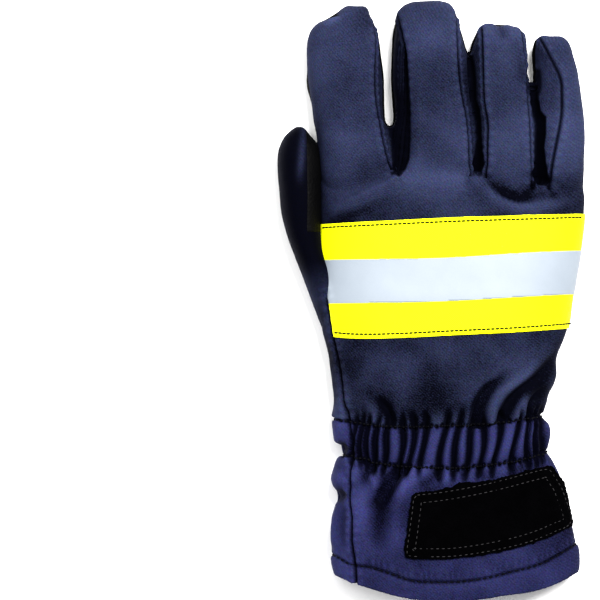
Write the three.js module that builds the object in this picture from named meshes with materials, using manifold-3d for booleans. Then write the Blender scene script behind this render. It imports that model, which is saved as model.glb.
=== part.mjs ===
// Right-hand firefighter glove that lies palm down, fingers along +Y and back of the hand up.
// The origin is in the middle of the palm's flat underside, at the level of the surface it rests on.
import * as THREE from "three";
import { mergeVertices } from "three/addons/utils/BufferGeometryUtils.js";
import Module from "manifold-3d";

const wasm = await Module();
wasm.setup();

// Driving sizes, in millimetres.
const hand_width = 117;
const hand_thickness = 35;
const knuckle_reach = 54.5;
const wrist_reach = 55.5;
const crotch_drop = 8;
const wrist_width = 93.4;
const wrist_shift = -3.8;
const wrist_thickness = 33;
const elastic_length = 18;
const elastic_top_sag = 3;
const elastic_bottom_sag = 5.5;
const cuff_width = 109;
const cuff_thickness = 36;
const cuff_length = 58.5;
const hem_height = 9;
const hem_sag = 10.6;
const thumb_width = 17;
const thumb_height = 28;
const thumb_length = 98.6;
const thumb_root = -22;
const thumb_side = -67.3;
const thumb_pad_reach = 30;
const thumb_pad_edge = 3.9;
const thumb_pad_under = 7.7;

// Cloth, leather and sewing.
const wall = 2.4;
const hem_extra = 0.8;
const seam_gap = 0.3;
const row_gap = 0.5;
const palm_seam_height = 11;
const side_panel_top = 5;
const side_panel_low = 18;
const pleat_pitch = 5.75;
const pleat_depth = 1.5;
const pleat_lean = 3;
const fold_height = 1.3;
const fold_width = 4.5;

// Reflective trim and hook-and-loop patch.
const trim_middle = 10.2;
const trim_width = 50.5;
const trim_tilt = 2.65;
const trim_end_across = -0.93;
const trim_end_slant = -0.045;
const trim_end_rise = -0.55;
const trim_far_end = 1.1;
const trim_thickness = 0.7;
const silver_drop = 1.1;
const silver_width = 19.2;
const silver_thickness = 0.5;
const patch_thickness = 1.8;

// How far a cutting shape runs past the glove, and a hollow past its open edge.
const beyond = 60;
const past_edge = 5;

// Fingers: root is where the axis crosses the knuckle line, lean is how far it moves over the length.
const fingers = {
  index: { root: -42.5, lean: -4, length: 75.2, width: 33.2, thickness: 27 },
  middle: { root: -7.3, lean: -3.3, length: 77.2, width: 34, thickness: 28 },
  ring: { root: 25.2, lean: -3.1, length: 67, width: 26.1, thickness: 26 },
  little: { root: 48.9, lean: -4.2, length: 61.3, width: 22.1, thickness: 24 },
};

// Sections of each finger: along as a share of its length, left and right of half its width from
// the axis, low and top of its thickness.
const finger_sections = {
  index: [
    { along: -0.14, left: -0.9, right: 0.9, low: 0, top: 1.0 },
    { along: 0.15, left: -0.91, right: 0.98, low: 0, top: 1.02 },
    { along: 0.27, left: -0.95, right: 0.97, low: 0, top: 1.0 },
    { along: 0.36, left: -1.03, right: 0.98, low: 0, top: 1.0 },
    { along: 0.68, left: -1.06, right: 0.91, low: 0, top: 0.98 },
    { along: 0.81, left: -1.0, right: 0.84, low: 0.02, top: 0.93 },
    { along: 0.88, left: -0.83, right: 0.76, low: 0.05, top: 0.87 },
    { along: 0.94, left: -0.4, right: 0.66, low: 0.1, top: 0.78 },
    { along: 0.98, left: -0.05, right: 0.56, low: 0.18, top: 0.7 },
    { along: 1, left: 0.15, right: 0.47, low: 0.3, top: 0.6 },
  ],
  middle: [
    { along: -0.14, left: -1.05, right: 1.05, low: 0, top: 1.0 },
    { along: 0.15, left: -1.02, right: 1.1, low: 0, top: 1.02 },
    { along: 0.29, left: -1.03, right: 1.07, low: 0, top: 1.0 },
    { along: 0.44, left: -1.02, right: 1.05, low: 0, top: 1.0 },
    { along: 0.71, left: -0.95, right: 1.0, low: 0, top: 0.98 },
    { along: 0.81, left: -0.89, right: 0.87, low: 0.02, top: 0.94 },
    { along: 0.89, left: -0.81, right: 0.76, low: 0.05, top: 0.87 },
    { along: 0.95, left: -0.72, right: 0.65, low: 0.1, top: 0.78 },
    { along: 0.985, left: -0.57, right: 0.57, low: 0.18, top: 0.68 },
    { along: 1, left: -0.36, right: 0.36, low: 0.3, top: 0.58 },
  ],
  ring: [
    { along: -0.16, left: -1.0, right: 0.9, low: 0, top: 1.02 },
    { along: 0.17, left: -0.91, right: 0.89, low: 0, top: 1.02 },
    { along: 0.34, left: -0.97, right: 0.9, low: 0, top: 1.0 },
    { along: 0.67, left: -1.05, right: 0.9, low: 0, top: 0.98 },
    { along: 0.8, left: -1.05, right: 0.88, low: 0.02, top: 0.95 },
    { along: 0.885, left: -0.91, right: 0.88, low: 0.05, top: 0.88 },
    { along: 0.94, left: -0.76, right: 0.82, low: 0.1, top: 0.8 },
    { along: 0.98, left: -0.62, right: 0.57, low: 0.18, top: 0.7 },
    { along: 1, left: -0.4, right: 0.27, low: 0.3, top: 0.6 },
  ],
  little: [
    { along: -0.17, left: -0.98, right: 0.93, low: 0, top: 1.05 },
    { along: -0.07, left: -0.95, right: 0.97, low: 0, top: 1.05 },
    { along: 0.08, left: -0.93, right: 1.0, low: 0, top: 1.03 },
    { along: 0.26, left: -0.92, right: 1.03, low: 0, top: 1.0 },
    { along: 0.48, left: -0.9, right: 1.05, low: 0, top: 1.0 },
    { along: 0.77, left: -0.83, right: 0.95, low: 0.02, top: 0.96 },
    { along: 0.87, left: -0.77, right: 0.83, low: 0.05, top: 0.9 },
    { along: 0.94, left: -0.66, right: 0.71, low: 0.1, top: 0.8 },
    { along: 0.98, left: -0.46, right: 0.52, low: 0.18, top: 0.7 },
    { along: 1, left: -0.24, right: 0.28, low: 0.3, top: 0.6 },
  ],
};

// Seams of the back at the fingers' sides: along as a share of the length, across of half the width.
const finger_seams = {
  index_right: [
    { along: 0.965, across: 0.58 },
    { along: 0.88, across: 0.7 },
    { along: 0.77, across: 0.77 },
    { along: 0.45, across: 0.73 },
    { along: 0.33, across: 0.77 },
    { along: 0.18, across: 0.82 },
    { along: 0, across: 0.85 },
  ],
  middle_left: [
    { along: 0.94, across: -0.74 },
    { along: 0.84, across: -0.68 },
    { along: 0.66, across: -0.64 },
    { along: 0.32, across: -0.65 },
    { along: 0.15, across: -0.78 },
    { along: 0.02, across: -0.84 },
  ],
  middle_right: [
    { along: 0.96, across: 0.64 },
    { along: 0.9, across: 0.71 },
    { along: 0.66, across: 0.77 },
    { along: 0.44, across: 0.85 },
    { along: 0.15, across: 0.89 },
    { along: 0, across: 0.87 },
  ],
  ring_left: [
    { along: 0.97, across: -0.61 },
    { along: 0.86, across: -0.69 },
    { along: 0.5, across: -0.73 },
    { along: 0.3, across: -0.64 },
    { along: 0.14, across: -0.68 },
    { along: 0.03, across: -0.7 },
  ],
  ring_right: [
    { along: 0.96, across: 0.66 },
    { along: 0.87, across: 0.8 },
    { along: 0.5, across: 0.78 },
    { along: 0.24, across: 0.74 },
    { along: 0.03, across: 0.7 },
    { along: -0.07, across: 0.7 },
  ],
  little_left: [
    { along: 0.97, across: -0.45 },
    { along: 0.91, across: -0.27 },
    { along: 0.8, across: 0 },
    { along: 0.73, across: 0.18 },
    { along: 0.62, across: 0.25 },
    { along: 0.49, across: 0.21 },
    { along: 0.26, across: -0.08 },
    { along: 0.04, across: -0.4 },
    { along: -0.08, across: -0.61 },
  ],
};

// Sections of the hand from the wrist to the knuckle line: along as a share of the wrist reach
// below 0 and of the knuckle reach above it, left and right of half the width, low and top of the
// thickness, bow of the elastic's upper sag, tilt of half the crotch drop.
const hand_sections = [
  { along: -1, left: -0.87, right: 0.71, low: 0.04, top: 0.86, bow: 1, tilt: 0 },
  { along: -0.92, left: -0.865, right: 0.72, low: 0.01, top: 0.91, bow: 0.8, tilt: 0 },
  { along: -0.79, left: -0.875, right: 0.74, low: 0, top: 0.95, bow: 0.4, tilt: 0 },
  { along: -0.63, left: -0.9, right: 0.8, low: 0, top: 0.97, bow: 0.1, tilt: 0 },
  { along: -0.42, left: -0.93, right: 0.82, low: 0, top: 0.99, bow: 0, tilt: 0 },
  { along: -0.24, left: -0.965, right: 0.88, low: 0, top: 1.0, bow: 0, tilt: 0 },
  { along: 0, left: -0.99, right: 0.915, low: 0, top: 1.0, bow: 0, tilt: 0 },
  { along: 0.16, left: -0.98, right: 0.94, low: 0, top: 0.98, bow: 0, tilt: 0 },
  { along: 0.41, left: -0.97, right: 0.98, low: 0, top: 0.94, bow: 0, tilt: 0 },
  { along: 0.63, left: -0.975, right: 1.005, low: 0, top: 0.89, bow: 0, tilt: 0 },
  { along: 0.8, left: -0.98, right: 1.02, low: 0, top: 0.84, bow: 0, tilt: 0.3 },
  { along: 1, left: -0.98, right: 1.01, low: 0, top: 0.76, bow: 0, tilt: 1 },
];

// Sections of the gathered wrist: along as a share of its length, left and right of half the
// wrist's width, low and top of its thickness.
const elastic_sections = [
  { along: 0, left: -1.0, right: 0.97, low: 0.05, top: 0.93 },
  { along: 0.3, left: -1.01, right: 1.0, low: 0.02, top: 1.0 },
  { along: 0.65, left: -0.975, right: 1.01, low: 0.02, top: 1.0 },
  { along: 1, left: -0.94, right: 0.98, low: 0.05, top: 0.93 },
];

// Sections of the cuff, shares of its length, half its width and its thickness.
const cuff_sections = [
  { along: 0, left: -0.87, right: 0.78, low: 0.05, top: 0.86 },
  { along: 0.06, left: -0.91, right: 0.83, low: 0.02, top: 0.92 },
  { along: 0.14, left: -0.935, right: 0.87, low: 0, top: 0.98 },
  { along: 0.25, left: -0.94, right: 0.91, low: 0, top: 1.0 },
  { along: 0.4, left: -0.925, right: 0.95, low: 0, top: 1.0 },
  { along: 0.55, left: -0.945, right: 0.985, low: 0, top: 0.98 },
  { along: 0.7, left: -0.955, right: 1.015, low: 0, top: 0.96 },
  { along: 0.85, left: -0.95, right: 1.045, low: 0, top: 0.95 },
  { along: 0.95, left: -0.94, right: 1.045, low: 0, top: 0.94 },
  { along: 1, left: -0.91, right: 1.0, low: 0.02, top: 0.9 },
];

// Sections of the thumb from its hidden root to its tip, seen on edge: along as a share of its
// length, left and right of its width from its side line, low and top of its height.
const thumb_sections = [
  { along: 0, left: 0.94, right: 1.67, low: 0.04, top: 0.75 },
  { along: 0.09, left: 0.66, right: 1.51, low: 0, top: 0.82 },
  { along: 0.22, left: 0.38, right: 1.25, low: 0, top: 0.9 },
  { along: 0.36, left: 0.08, right: 0.91, low: 0, top: 0.95 },
  { along: 0.43, left: -0.08, right: 0.69, low: 0, top: 0.96 },
  { along: 0.49, left: -0.22, right: 0.49, low: 0, top: 0.97 },
  { along: 0.6, left: -0.39, right: 0.47, low: 0, top: 0.99 },
  { along: 0.72, left: -0.47, right: 0.465, low: 0, top: 1.0 },
  { along: 0.85, left: -0.495, right: 0.46, low: 0, top: 0.98 },
  { along: 0.92, left: -0.44, right: 0.41, low: 0.04, top: 0.91 },
  { along: 0.96, left: -0.325, right: 0.33, low: 0.12, top: 0.83 },
  { along: 0.985, left: -0.18, right: 0.22, low: 0.22, top: 0.73 },
  { along: 1, left: -0.05, right: 0.12, low: 0.35, top: 0.62 },
];

// Side seam on the thumb's side of the back, in the hand's shares and then the cuff's.
const hand_side_seam = [
  { along: 0.09, across: -0.937 },
  { along: -0.27, across: -0.889 },
  { along: -0.57, across: -0.84 },
  { along: -0.85, across: -0.794 },
  { along: -1, across: -0.764 },
];
const cuff_side_seam = [
  { along: 0, across: -0.8 },
  { along: 0.22, across: -0.815 },
  { along: 0.4, across: -0.795 },
  { along: 0.7, across: -0.787 },
  { along: 1, across: -0.77 },
];

// Folds of the back, in the hand's shares: a ridge has a rise above 0 and a valley below it.
const hand_folds = [
  { from_across: -0.39, from_along: 0.97, to_across: -0.97, to_along: 0.67, rise: 1 },
  { from_across: 0.28, from_along: 1, to_across: 0.45, to_along: 0.8, rise: -1 },
  { from_across: 0.8, from_along: -0.43, to_across: 0.44, to_along: -0.82, rise: -0.9 },
  { from_across: 0.38, from_along: -0.63, to_across: 0.2, to_along: -1, rise: -1.1 },
  { from_across: 0.74, from_along: -0.72, to_across: 0.6, to_along: -0.92, rise: -0.7 },
  { from_across: -0.53, from_along: -0.83, to_across: -0.45, to_along: -0.97, rise: -0.8 },
];

// Folds of the cuff that start at the elastic, in the cuff's shares.
const cuff_folds = [
  { from_across: -0.42, from_along: 0.03, to_across: -0.57, to_along: 0.22, rise: -1.1 },
  { from_across: -0.7, from_along: 0.03, to_across: -0.75, to_along: 0.2, rise: -0.6 },
  { from_across: -0.2, from_along: 0.02, to_across: -0.3, to_along: 0.18, rise: 0.9 },
  { from_across: 0.1, from_along: 0.01, to_across: 0.08, to_along: 0.1, rise: -0.8 },
  { from_across: 0.4, from_along: 0.0, to_across: 0.4, to_along: 0.07, rise: -0.8 },
];

// Outline of the hook-and-loop patch, in the cuff's shares.
const patch_outline = [
  { across: -0.3, along: 0.21 },
  { across: -0.375, along: 0.63 },
  { across: -0.32, along: 0.685 },
  { across: 0, along: 0.685 },
  { across: 0.41, along: 0.63 },
  { across: 0.85, along: 0.5 },
  { across: 0.99, along: 0.42 },
  { across: 1.0, along: 0.38 },
  { across: 0.94, along: 0.21 },
  { across: 0.85, along: 0.06 },
  { across: 0.78, along: 0.015 },
  { across: 0.65, along: 0.025 },
  { across: 0.4, along: 0.085 },
  { across: 0.06, along: 0.125 },
  { across: -0.28, along: 0.18 },
];

// Splits of a section's upper and lower half, and steps along the hand.
const hand_splits = { upper: 22, lower: 8 };
const hollow_splits = { upper: 12, lower: 6 };
const finger_splits = { upper: 8, lower: 5 };
const finger_hollow_splits = { upper: 6, lower: 4 };
const cuff_splits = { upper: 22, lower: 12 };
const hand_steps = 13;
const hollow_steps = 8;
const upper_power = 2.4;
const lower_power = 3.2;
const flatten = 1.12;
const middle_share = 0.46;

function handY(share) {
  return share >= 0 ? share * knuckle_reach : share * wrist_reach;
}

function cuffY(share) {
  return -wrist_reach - elastic_length - share * cuff_length;
}

function foldRelief(folds, width, placeY, x, y) {
  const point = new THREE.Vector3(x, y, 0);
  const nearest = new THREE.Vector3();
  let relief = 0;
  for (const fold of folds) {
    const from = new THREE.Vector3((fold.from_across * width) / 2, placeY(fold.from_along), 0);
    const to = new THREE.Vector3((fold.to_across * width) / 2, placeY(fold.to_along), 0);
    new THREE.Line3(from, to).closestPointToPoint(point, true, nearest);
    const share = nearest.distanceTo(point) / fold_width;
    relief += fold.rise * fold_height * Math.exp(-share * share);
  }
  return relief;
}

function handRelief(x, y) {
  return foldRelief(hand_folds, hand_width, handY, x, y);
}

function cuffRelief(x, y) {
  return foldRelief(cuff_folds, cuff_width, cuffY, x, y);
}

function flat() {
  return 0;
}

// The shares of half the width at which a section has its points, up one side and back below.
function roundSplits({ upper, lower }) {
  const splits = [];
  for (let i = 0; i < upper; i += 1) {
    splits.push({ across: Math.cos((Math.PI * i) / upper), upper: true });
  }
  for (let i = 0; i < lower; i += 1) {
    splits.push({ across: -Math.cos((Math.PI * i) / lower), upper: false });
  }
  return splits;
}

// One closed section in a plane of constant Y, flattened where it would reach below low.
function sectionRing(section, splits, inset, relief) {
  const left = section.left + inset;
  const right = section.right - inset;
  const low = section.low + inset;
  const top = section.top - inset;
  const centre = (left + right) / 2;
  const half = (right - left) / 2;
  const middle = low + (top - low) * middle_share;
  return splits.map((split) => {
    const x = centre + half * split.across;
    const y = section.y + section.bow * split.across ** 2 - section.tilt * split.across;
    const power = split.upper ? upper_power : lower_power;
    const fullness = (1 - Math.abs(split.across) ** power) ** (1 / power);
    if (split.upper) {
      const z = middle + (top - middle + relief(x, y)) * fullness;
      return new THREE.Vector3(x, y, z);
    }
    return new THREE.Vector3(x, y, Math.max(low, middle - (middle - low) * flatten * fullness));
  });
}

// A closed body through sections that follow each other towards +Y.
function loft(rings) {
  const count = rings[0].length;
  const positions = [];
  const index = [];
  for (const ring of rings) {
    for (const point of ring) {
      positions.push(point.x, point.y, point.z);
    }
  }
  for (let r = 0; r + 1 < rings.length; r += 1) {
    for (let i = 0; i < count; i += 1) {
      const a = r * count + i;
      const b = r * count + ((i + 1) % count);
      index.push(a, a + count, b + count, a, b + count, b);
    }
  }
  const ends = [rings[0], rings[rings.length - 1]];
  ends.forEach((ring, end) => {
    const centre = new THREE.Vector3();
    ring.forEach((point) => centre.add(point));
    centre.divideScalar(count);
    const centreIndex = positions.length / 3;
    positions.push(centre.x, centre.y, centre.z);
    const start = end === 0 ? 0 : (rings.length - 1) * count;
    for (let i = 0; i < count; i += 1) {
      const a = start + i;
      const b = start + ((i + 1) % count);
      index.push(...(end === 0 ? [centreIndex, a, b] : [centreIndex, b, a]));
    }
  });
  const geometry = new THREE.BufferGeometry();
  geometry.setAttribute("position", new THREE.Float32BufferAttribute(positions, 3));
  geometry.setIndex(index);
  return geometry;
}

function solidOf(geometry) {
  const bare = geometry.clone();
  bare.deleteAttribute("normal");
  bare.deleteAttribute("uv");
  const merged = mergeVertices(bare, 1e-4);
  const vertProperties = new Float32Array(merged.attributes.position.array);
  const triVerts = new Uint32Array(merged.index.array);
  return new wasm.Manifold(new wasm.Mesh({ numProp: 3, vertProperties, triVerts }));
}

function meshOf(name, solid, material) {
  const { vertProperties, triVerts } = solid.getMesh();
  const geometry = new THREE.BufferGeometry();
  geometry.setAttribute("position", new THREE.Float32BufferAttribute(vertProperties, 3));
  geometry.setIndex(new THREE.Uint32BufferAttribute(triVerts, 1));
  geometry.computeVertexNormals();
  const mesh = new THREE.Mesh(geometry, material);
  mesh.name = name;
  return mesh;
}

// Rows of a table with extra rows between them on smooth curves.
function smoothed(rows, count) {
  const columns = Object.keys(rows[0]).filter((key) => key !== "along");
  const stations = rows.map((row) => row.along);
  const values = rows.flatMap((row) => columns.map((key) => row[key]));
  const curve = new THREE.CubicInterpolant(stations, values, columns.length);
  const first = stations[0];
  const last = stations[stations.length - 1];
  const result = [];
  for (let i = 0; i <= count; i += 1) {
    const along = first + ((last - first) * i) / count;
    const found = curve.evaluate(along);
    const row = { along };
    columns.forEach((key, k) => {
      row[key] = found[k];
    });
    result.push(row);
  }
  return result;
}

// The hand without its fingers. An open wrist lets an inner body run out past the cloth. The
// curve through the table's rows can dip below the flat underside, so low is kept at 0 or more.
function handSolid(inset, steps, splits, openBy) {
  const rows = smoothed(hand_sections, steps);
  const rings = rows.map((row, i) => {
    const atFront = i === rows.length - 1 ? inset : 0;
    const atWrist = i === 0 ? openBy : 0;
    const section = {
      y: handY(row.along) - atFront - atWrist,
      left: (row.left * hand_width) / 2,
      right: (row.right * hand_width) / 2,
      low: Math.max(0, row.low) * hand_thickness,
      top: row.top * hand_thickness,
      bow: row.bow * elastic_top_sag,
      tilt: (row.tilt * crotch_drop) / 2,
    };
    return sectionRing(section, splits, inset, handRelief);
  });
  return solidOf(loft(rings));
}

function fingerSolid(name, inset, splits) {
  const finger = fingers[name];
  const last = finger_sections[name].length - 1;
  const rows = finger_sections[name].filter((_, i) => inset === 0 || i % 2 === 0 || i === last);
  const rings = rows.map((row, i) => {
    const axis = finger.root + finger.lean * row.along;
    const atTip = i === rows.length - 1 ? inset : 0;
    const middle = ((row.left + row.right) * finger.width) / 4;
    const half = Math.max(((row.right - row.left) * finger.width) / 4 - inset, inset / 2);
    const section = {
      y: knuckle_reach + row.along * finger.length - atTip,
      left: axis + middle - half,
      right: axis + middle + half,
      low: row.low * finger.thickness + inset,
      top: row.top * finger.thickness - inset,
      bow: 0,
      tilt: 0,
    };
    return sectionRing(section, splits, 0, flat);
  });
  return solidOf(loft(rings));
}

function thumbSolid(inset, splits) {
  const rings = thumb_sections.map((row, i) => {
    const atTip = i === thumb_sections.length - 1 ? inset : 0;
    const middle = thumb_side + ((row.left + row.right) * thumb_width) / 2;
    const half = Math.max(((row.right - row.left) * thumb_width) / 2 - inset, inset / 2);
    const section = {
      y: thumb_root + row.along * thumb_length - atTip,
      left: middle - half,
      right: middle + half,
      low: row.low * thumb_height + inset,
      top: row.top * thumb_height - inset,
      bow: 0,
      tilt: 0,
    };
    return sectionRing(section, splits, 0, flat);
  });
  return solidOf(loft(rings));
}

function cuffSolid(inset, splits, openBy) {
  const rings = cuff_sections.map((row, i) => {
    const atTop = i === 0 ? openBy + (inset > 0 ? 0 : -row_gap) : 0;
    const atHem = i === cuff_sections.length - 1 ? openBy : 0;
    const section = {
      y: cuffY(row.along) + atTop - atHem,
      left: (row.left * cuff_width) / 2,
      right: (row.right * cuff_width) / 2,
      low: row.low * cuff_thickness,
      top: row.top * cuff_thickness,
      bow: elastic_bottom_sag + (hem_sag - elastic_bottom_sag) * row.along,
      tilt: 0,
    };
    const hemmed = inset > 0 && row.along > 1 - hem_height / cuff_length ? inset + hem_extra : inset;
    return sectionRing(section, splits, hemmed, cuffRelief);
  });
  return solidOf(loft(rings.reverse()));
}

// Points across the gathered wrist: one in each pleat's valley and one or two on its crest, and
// two close together at each of the wrist's edges.
function pleatSplits() {
  const pleats = Math.round(wrist_width / pleat_pitch);
  const near_edge = 0.985;
  const splits = [];
  for (const upper of [true, false]) {
    const side = upper ? 1 : -1;
    const each = upper ? 3 : 2;
    splits.push({ across: side, upper, pleat: 0 }, { across: side * near_edge, upper, pleat: 0 });
    for (let i = 1; i < pleats * each - 1; i += 1) {
      const across = side * (1 - (2 * i) / (pleats * each));
      splits.push({ across, upper, pleat: i % each === 0 ? 1 : 0 });
    }
    splits.push({ across: -side * near_edge, upper, pleat: 0 });
  }
  return splits;
}

function elasticSolid(inset, splits, openBy) {
  const rows = elastic_sections.map((row, i) => {
    const last = elastic_sections.length - 1;
    const atTop = i === 0 ? openBy + (inset > 0 ? 0 : -row_gap) : 0;
    const atBottom = i === last ? openBy : 0;
    const bow = elastic_top_sag + (elastic_bottom_sag - elastic_top_sag) * row.along;
    const section = {
      y: -wrist_reach - row.along * elastic_length + atTop - atBottom,
      left: wrist_shift + (row.left * wrist_width) / 2,
      right: wrist_shift + (row.right * wrist_width) / 2,
      low: row.low * wrist_thickness,
      top: row.top * wrist_thickness,
      bow,
      tilt: 0,
    };
    const ring = sectionRing(section, splits, inset, flat);
    return ring.map((point, k) => {
      const pleat = splits[k].pleat ?? 0;
      const side = 1 - Math.abs(splits[k].across) ** 4;
      const towards = splits[k].upper ? -1 : 1;
      const lean = pleat_lean * (0.5 - row.along) * side;
      const moved = splits[k].across + (2 * lean) / (section.right - section.left);
      const rise = bow * (moved ** 2 - splits[k].across ** 2);
      return point.add(new THREE.Vector3(lean, rise, towards * pleat * pleat_depth * side));
    });
  });
  return solidOf(loft(rows.reverse()));
}

// A block over a plan outline between two heights.
function prism(outline, low, high) {
  const shape = new THREE.Shape(outline);
  const geometry = new THREE.ExtrudeGeometry(shape, { depth: high - low, bevelEnabled: false });
  geometry.translate(0, 0, low);
  return solidOf(geometry);
}

function block(low, high) {
  const far = 4 * beyond;
  const outline = [
    new THREE.Vector2(-far, -far),
    new THREE.Vector2(far, -far),
    new THREE.Vector2(far, far),
    new THREE.Vector2(-far, far),
  ];
  return prism(outline, low, high);
}

function fingerPoint(name, row, shift) {
  const finger = fingers[name];
  const x = finger.root + finger.lean * row.along + (row.across * finger.width) / 2 + shift;
  return new THREE.Vector2(x, knuckle_reach + row.along * finger.length);
}

// The strip between two fingers, bounded by the back's seams on both of them.
function forchettePrism(left, right, grow) {
  const down = finger_seams[`${left}_right`].map((row) => fingerPoint(left, row, -grow));
  const up = finger_seams[`${right}_left`].map((row) => fingerPoint(right, row, grow));
  up.reverse();
  const bottom = [down[down.length - 1], up[0]];
  bottom.forEach((point) => point.setY(point.y - grow - wall - 1));
  const above = knuckle_reach + fingers.middle.length + beyond;
  const outline = [new THREE.Vector2(down[0].x, above), ...down, ...up];
  outline.push(new THREE.Vector2(up[up.length - 1].x, above));
  return prism(outline, palm_seam_height, palm_seam_height + beyond);
}

// What lies low down on the thumb's side of the glove.
function underPrism(front, grow) {
  const outer = -hand_width / 2 - beyond;
  const rear = cuffY(1) - beyond;
  const outline = [
    new THREE.Vector2(outer, rear),
    new THREE.Vector2(-hand_width / 4, rear),
    new THREE.Vector2(-hand_width / 4, front),
    new THREE.Vector2(outer, front),
  ];
  return prism(outline, -beyond, side_panel_low + grow);
}

// The side of the glove beyond the back's side seam, from the thumb's root down to the hem. Low
// down it reaches further under the back, where the wall curves inwards.
function sidePrism(grow) {
  const hand = hand_side_seam.map(
    (row) => new THREE.Vector2((row.across * hand_width) / 2 + grow, handY(row.along)),
  );
  const cuff = cuff_side_seam.map(
    (row) => new THREE.Vector2((row.across * cuff_width) / 2 + grow, cuffY(row.along)),
  );
  const outer = -hand_width / 2 - beyond;
  hand[0].setY(side_panel_top + grow);
  const outline = [new THREE.Vector2(outer, side_panel_top + grow), ...hand, ...cuff];
  outline.push(new THREE.Vector2(cuff[cuff.length - 1].x, cuffY(1) - beyond));
  outline.push(new THREE.Vector2(outer, cuffY(1) - beyond));
  return prism(outline, -beyond, beyond).add(underPrism(side_panel_top + grow, grow));
}

// A band across the back, tilted a little, from the side seam round to the palm seam. Its left
// end is cut on a slant, along the side seam.
function bandPrism(middle, width) {
  const stations = [
    { across: 0, rise: 0 },
    { across: trim_far_end, rise: trim_far_end },
  ];
  const row = (station, side) =>
    new THREE.Vector2(
      (station.across * hand_width) / 2,
      middle + station.rise * trim_tilt + (side * width) / 2,
    );
  const end = (side) => {
    const across = trim_end_across + (side * trim_end_slant * width) / trim_width;
    return row({ across, rise: trim_end_rise }, side);
  };
  const outline = [end(-1), ...stations.map((station) => row(station, -1))];
  outline.push(...stations.map((station) => row(station, 1)).reverse(), end(1));
  return prism(outline, palm_seam_height + seam_gap, palm_seam_height + beyond);
}

function union(solids) {
  return solids.reduce((whole, solid) => whole.add(solid));
}

const finger_names = Object.keys(fingers);
const outer_round = roundSplits(finger_splits);
const inner_round = roundSplits(finger_hollow_splits);
const hand_round = roundSplits(hand_splits);
const hollow_round = roundSplits(hollow_splits);

// The hand with its fingers, hollow and open at the wrist, with a hole where the thumb is set in.
const hand_outer = union([
  handSolid(0, hand_steps, hand_round, 0),
  ...finger_names.map((name) => fingerSolid(name, 0, outer_round)),
]);
const hand_inner = union([
  handSolid(wall, hollow_steps, hollow_round, past_edge),
  ...finger_names.map((name) => fingerSolid(name, wall, inner_round)),
]);
const thumb_inner = thumbSolid(wall, inner_round);
const hand_shell = hand_outer.subtract(hand_inner).subtract(thumb_inner);
const hand_upper = hand_shell.intersect(block(palm_seam_height + seam_gap / 2, beyond));
const palm = hand_shell.intersect(block(-1, palm_seam_height - seam_gap / 2));

const strips = [
  ["index", "middle"],
  ["middle", "ring"],
  ["ring", "little"],
];
const forchettes = strips.map(([left, right]) =>
  hand_upper.intersect(forchettePrism(left, right, 0)),
);
const back = strips.reduce(
  (rest, [left, right]) => rest.subtract(forchettePrism(left, right, seam_gap)),
  hand_upper.subtract(sidePrism(seam_gap)),
);
const side = hand_upper.intersect(sidePrism(0));

// The thumb outside the hand, with a leather pad on the side that faces the index finger.
const thumb_shell = thumbSolid(0, outer_round)
  .subtract(thumb_inner)
  .subtract(handSolid(-seam_gap, hand_steps, hand_round, 0));
function padPrism(grow) {
  const split = thumb_side + thumb_pad_edge - grow;
  const reach = thumb_pad_reach - grow;
  const outline = (from) => [
    new THREE.Vector2(from, reach),
    new THREE.Vector2(0, reach),
    new THREE.Vector2(0, reach + 2 * beyond),
    new THREE.Vector2(from, reach + 2 * beyond),
  ];
  const facing = prism(outline(split), -1, beyond);
  const under = prism(outline(thumb_side - thumb_width), -1, thumb_pad_under + grow);
  return facing.add(under);
}
const thumb_pad = thumb_shell.intersect(padPrism(0));
const thumb_rest = thumb_shell.subtract(padPrism(seam_gap));

// The gathered wrist and the cuff, each split along the side seams.
const back_zone = block(palm_seam_height + seam_gap / 2, beyond).subtract(sidePrism(seam_gap));
const palm_zone = block(-1, palm_seam_height - seam_gap / 2).add(
  block(-1, beyond).intersect(sidePrism(0)),
);
const elastic_shell = elasticSolid(0, pleatSplits(), 0).subtract(
  elasticSolid(wall, hollow_round, past_edge),
);
const cuff_shell = cuffSolid(0, roundSplits(cuff_splits), 0).subtract(
  cuffSolid(wall, hollow_round, past_edge),
);

// The trim and the patch lie on the cloth with a small gap.
function handSkin(from, thickness) {
  const outer = handSolid(-from - thickness, hand_steps, hand_round, 0);
  return outer
    .subtract(handSolid(-from, hand_steps, hand_round, 0))
    .subtract(thumbSolid(-seam_gap, outer_round))
    .subtract(underPrism(beyond, 0));
}
const trim = handSkin(seam_gap, trim_thickness).intersect(bandPrism(trim_middle, trim_width));
const silver = handSkin(2 * seam_gap + trim_thickness, silver_thickness).intersect(
  bandPrism(trim_middle - silver_drop, silver_width),
);
const patch_points = patch_outline.map(
  (row) => new THREE.Vector2((row.across * cuff_width) / 2, cuffY(row.along)),
);
const patch = cuffSolid(-seam_gap - patch_thickness, roundSplits(cuff_splits), 0)
  .subtract(cuffSolid(-seam_gap, roundSplits(cuff_splits), 0))
  .intersect(prism(patch_points, palm_seam_height + seam_gap, beyond));

const cloth = new THREE.MeshStandardMaterial({ color: 0x2b2c4a, roughness: 0.85, metalness: 0 });
const gathered = new THREE.MeshStandardMaterial({ color: 0x292a46, roughness: 0.85, metalness: 0 });
const leather = new THREE.MeshStandardMaterial({ color: 0x111114, roughness: 0.6, metalness: 0 });
const yellow = new THREE.MeshStandardMaterial({ color: 0xf2f51e, roughness: 0.6, metalness: 0 });
const reflective = new THREE.MeshStandardMaterial({ color: 0xd3dce6, roughness: 0.35, metalness: 0.3 });
const loop_pile = new THREE.MeshStandardMaterial({ color: 0x08080a, roughness: 1, metalness: 0 });

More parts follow.
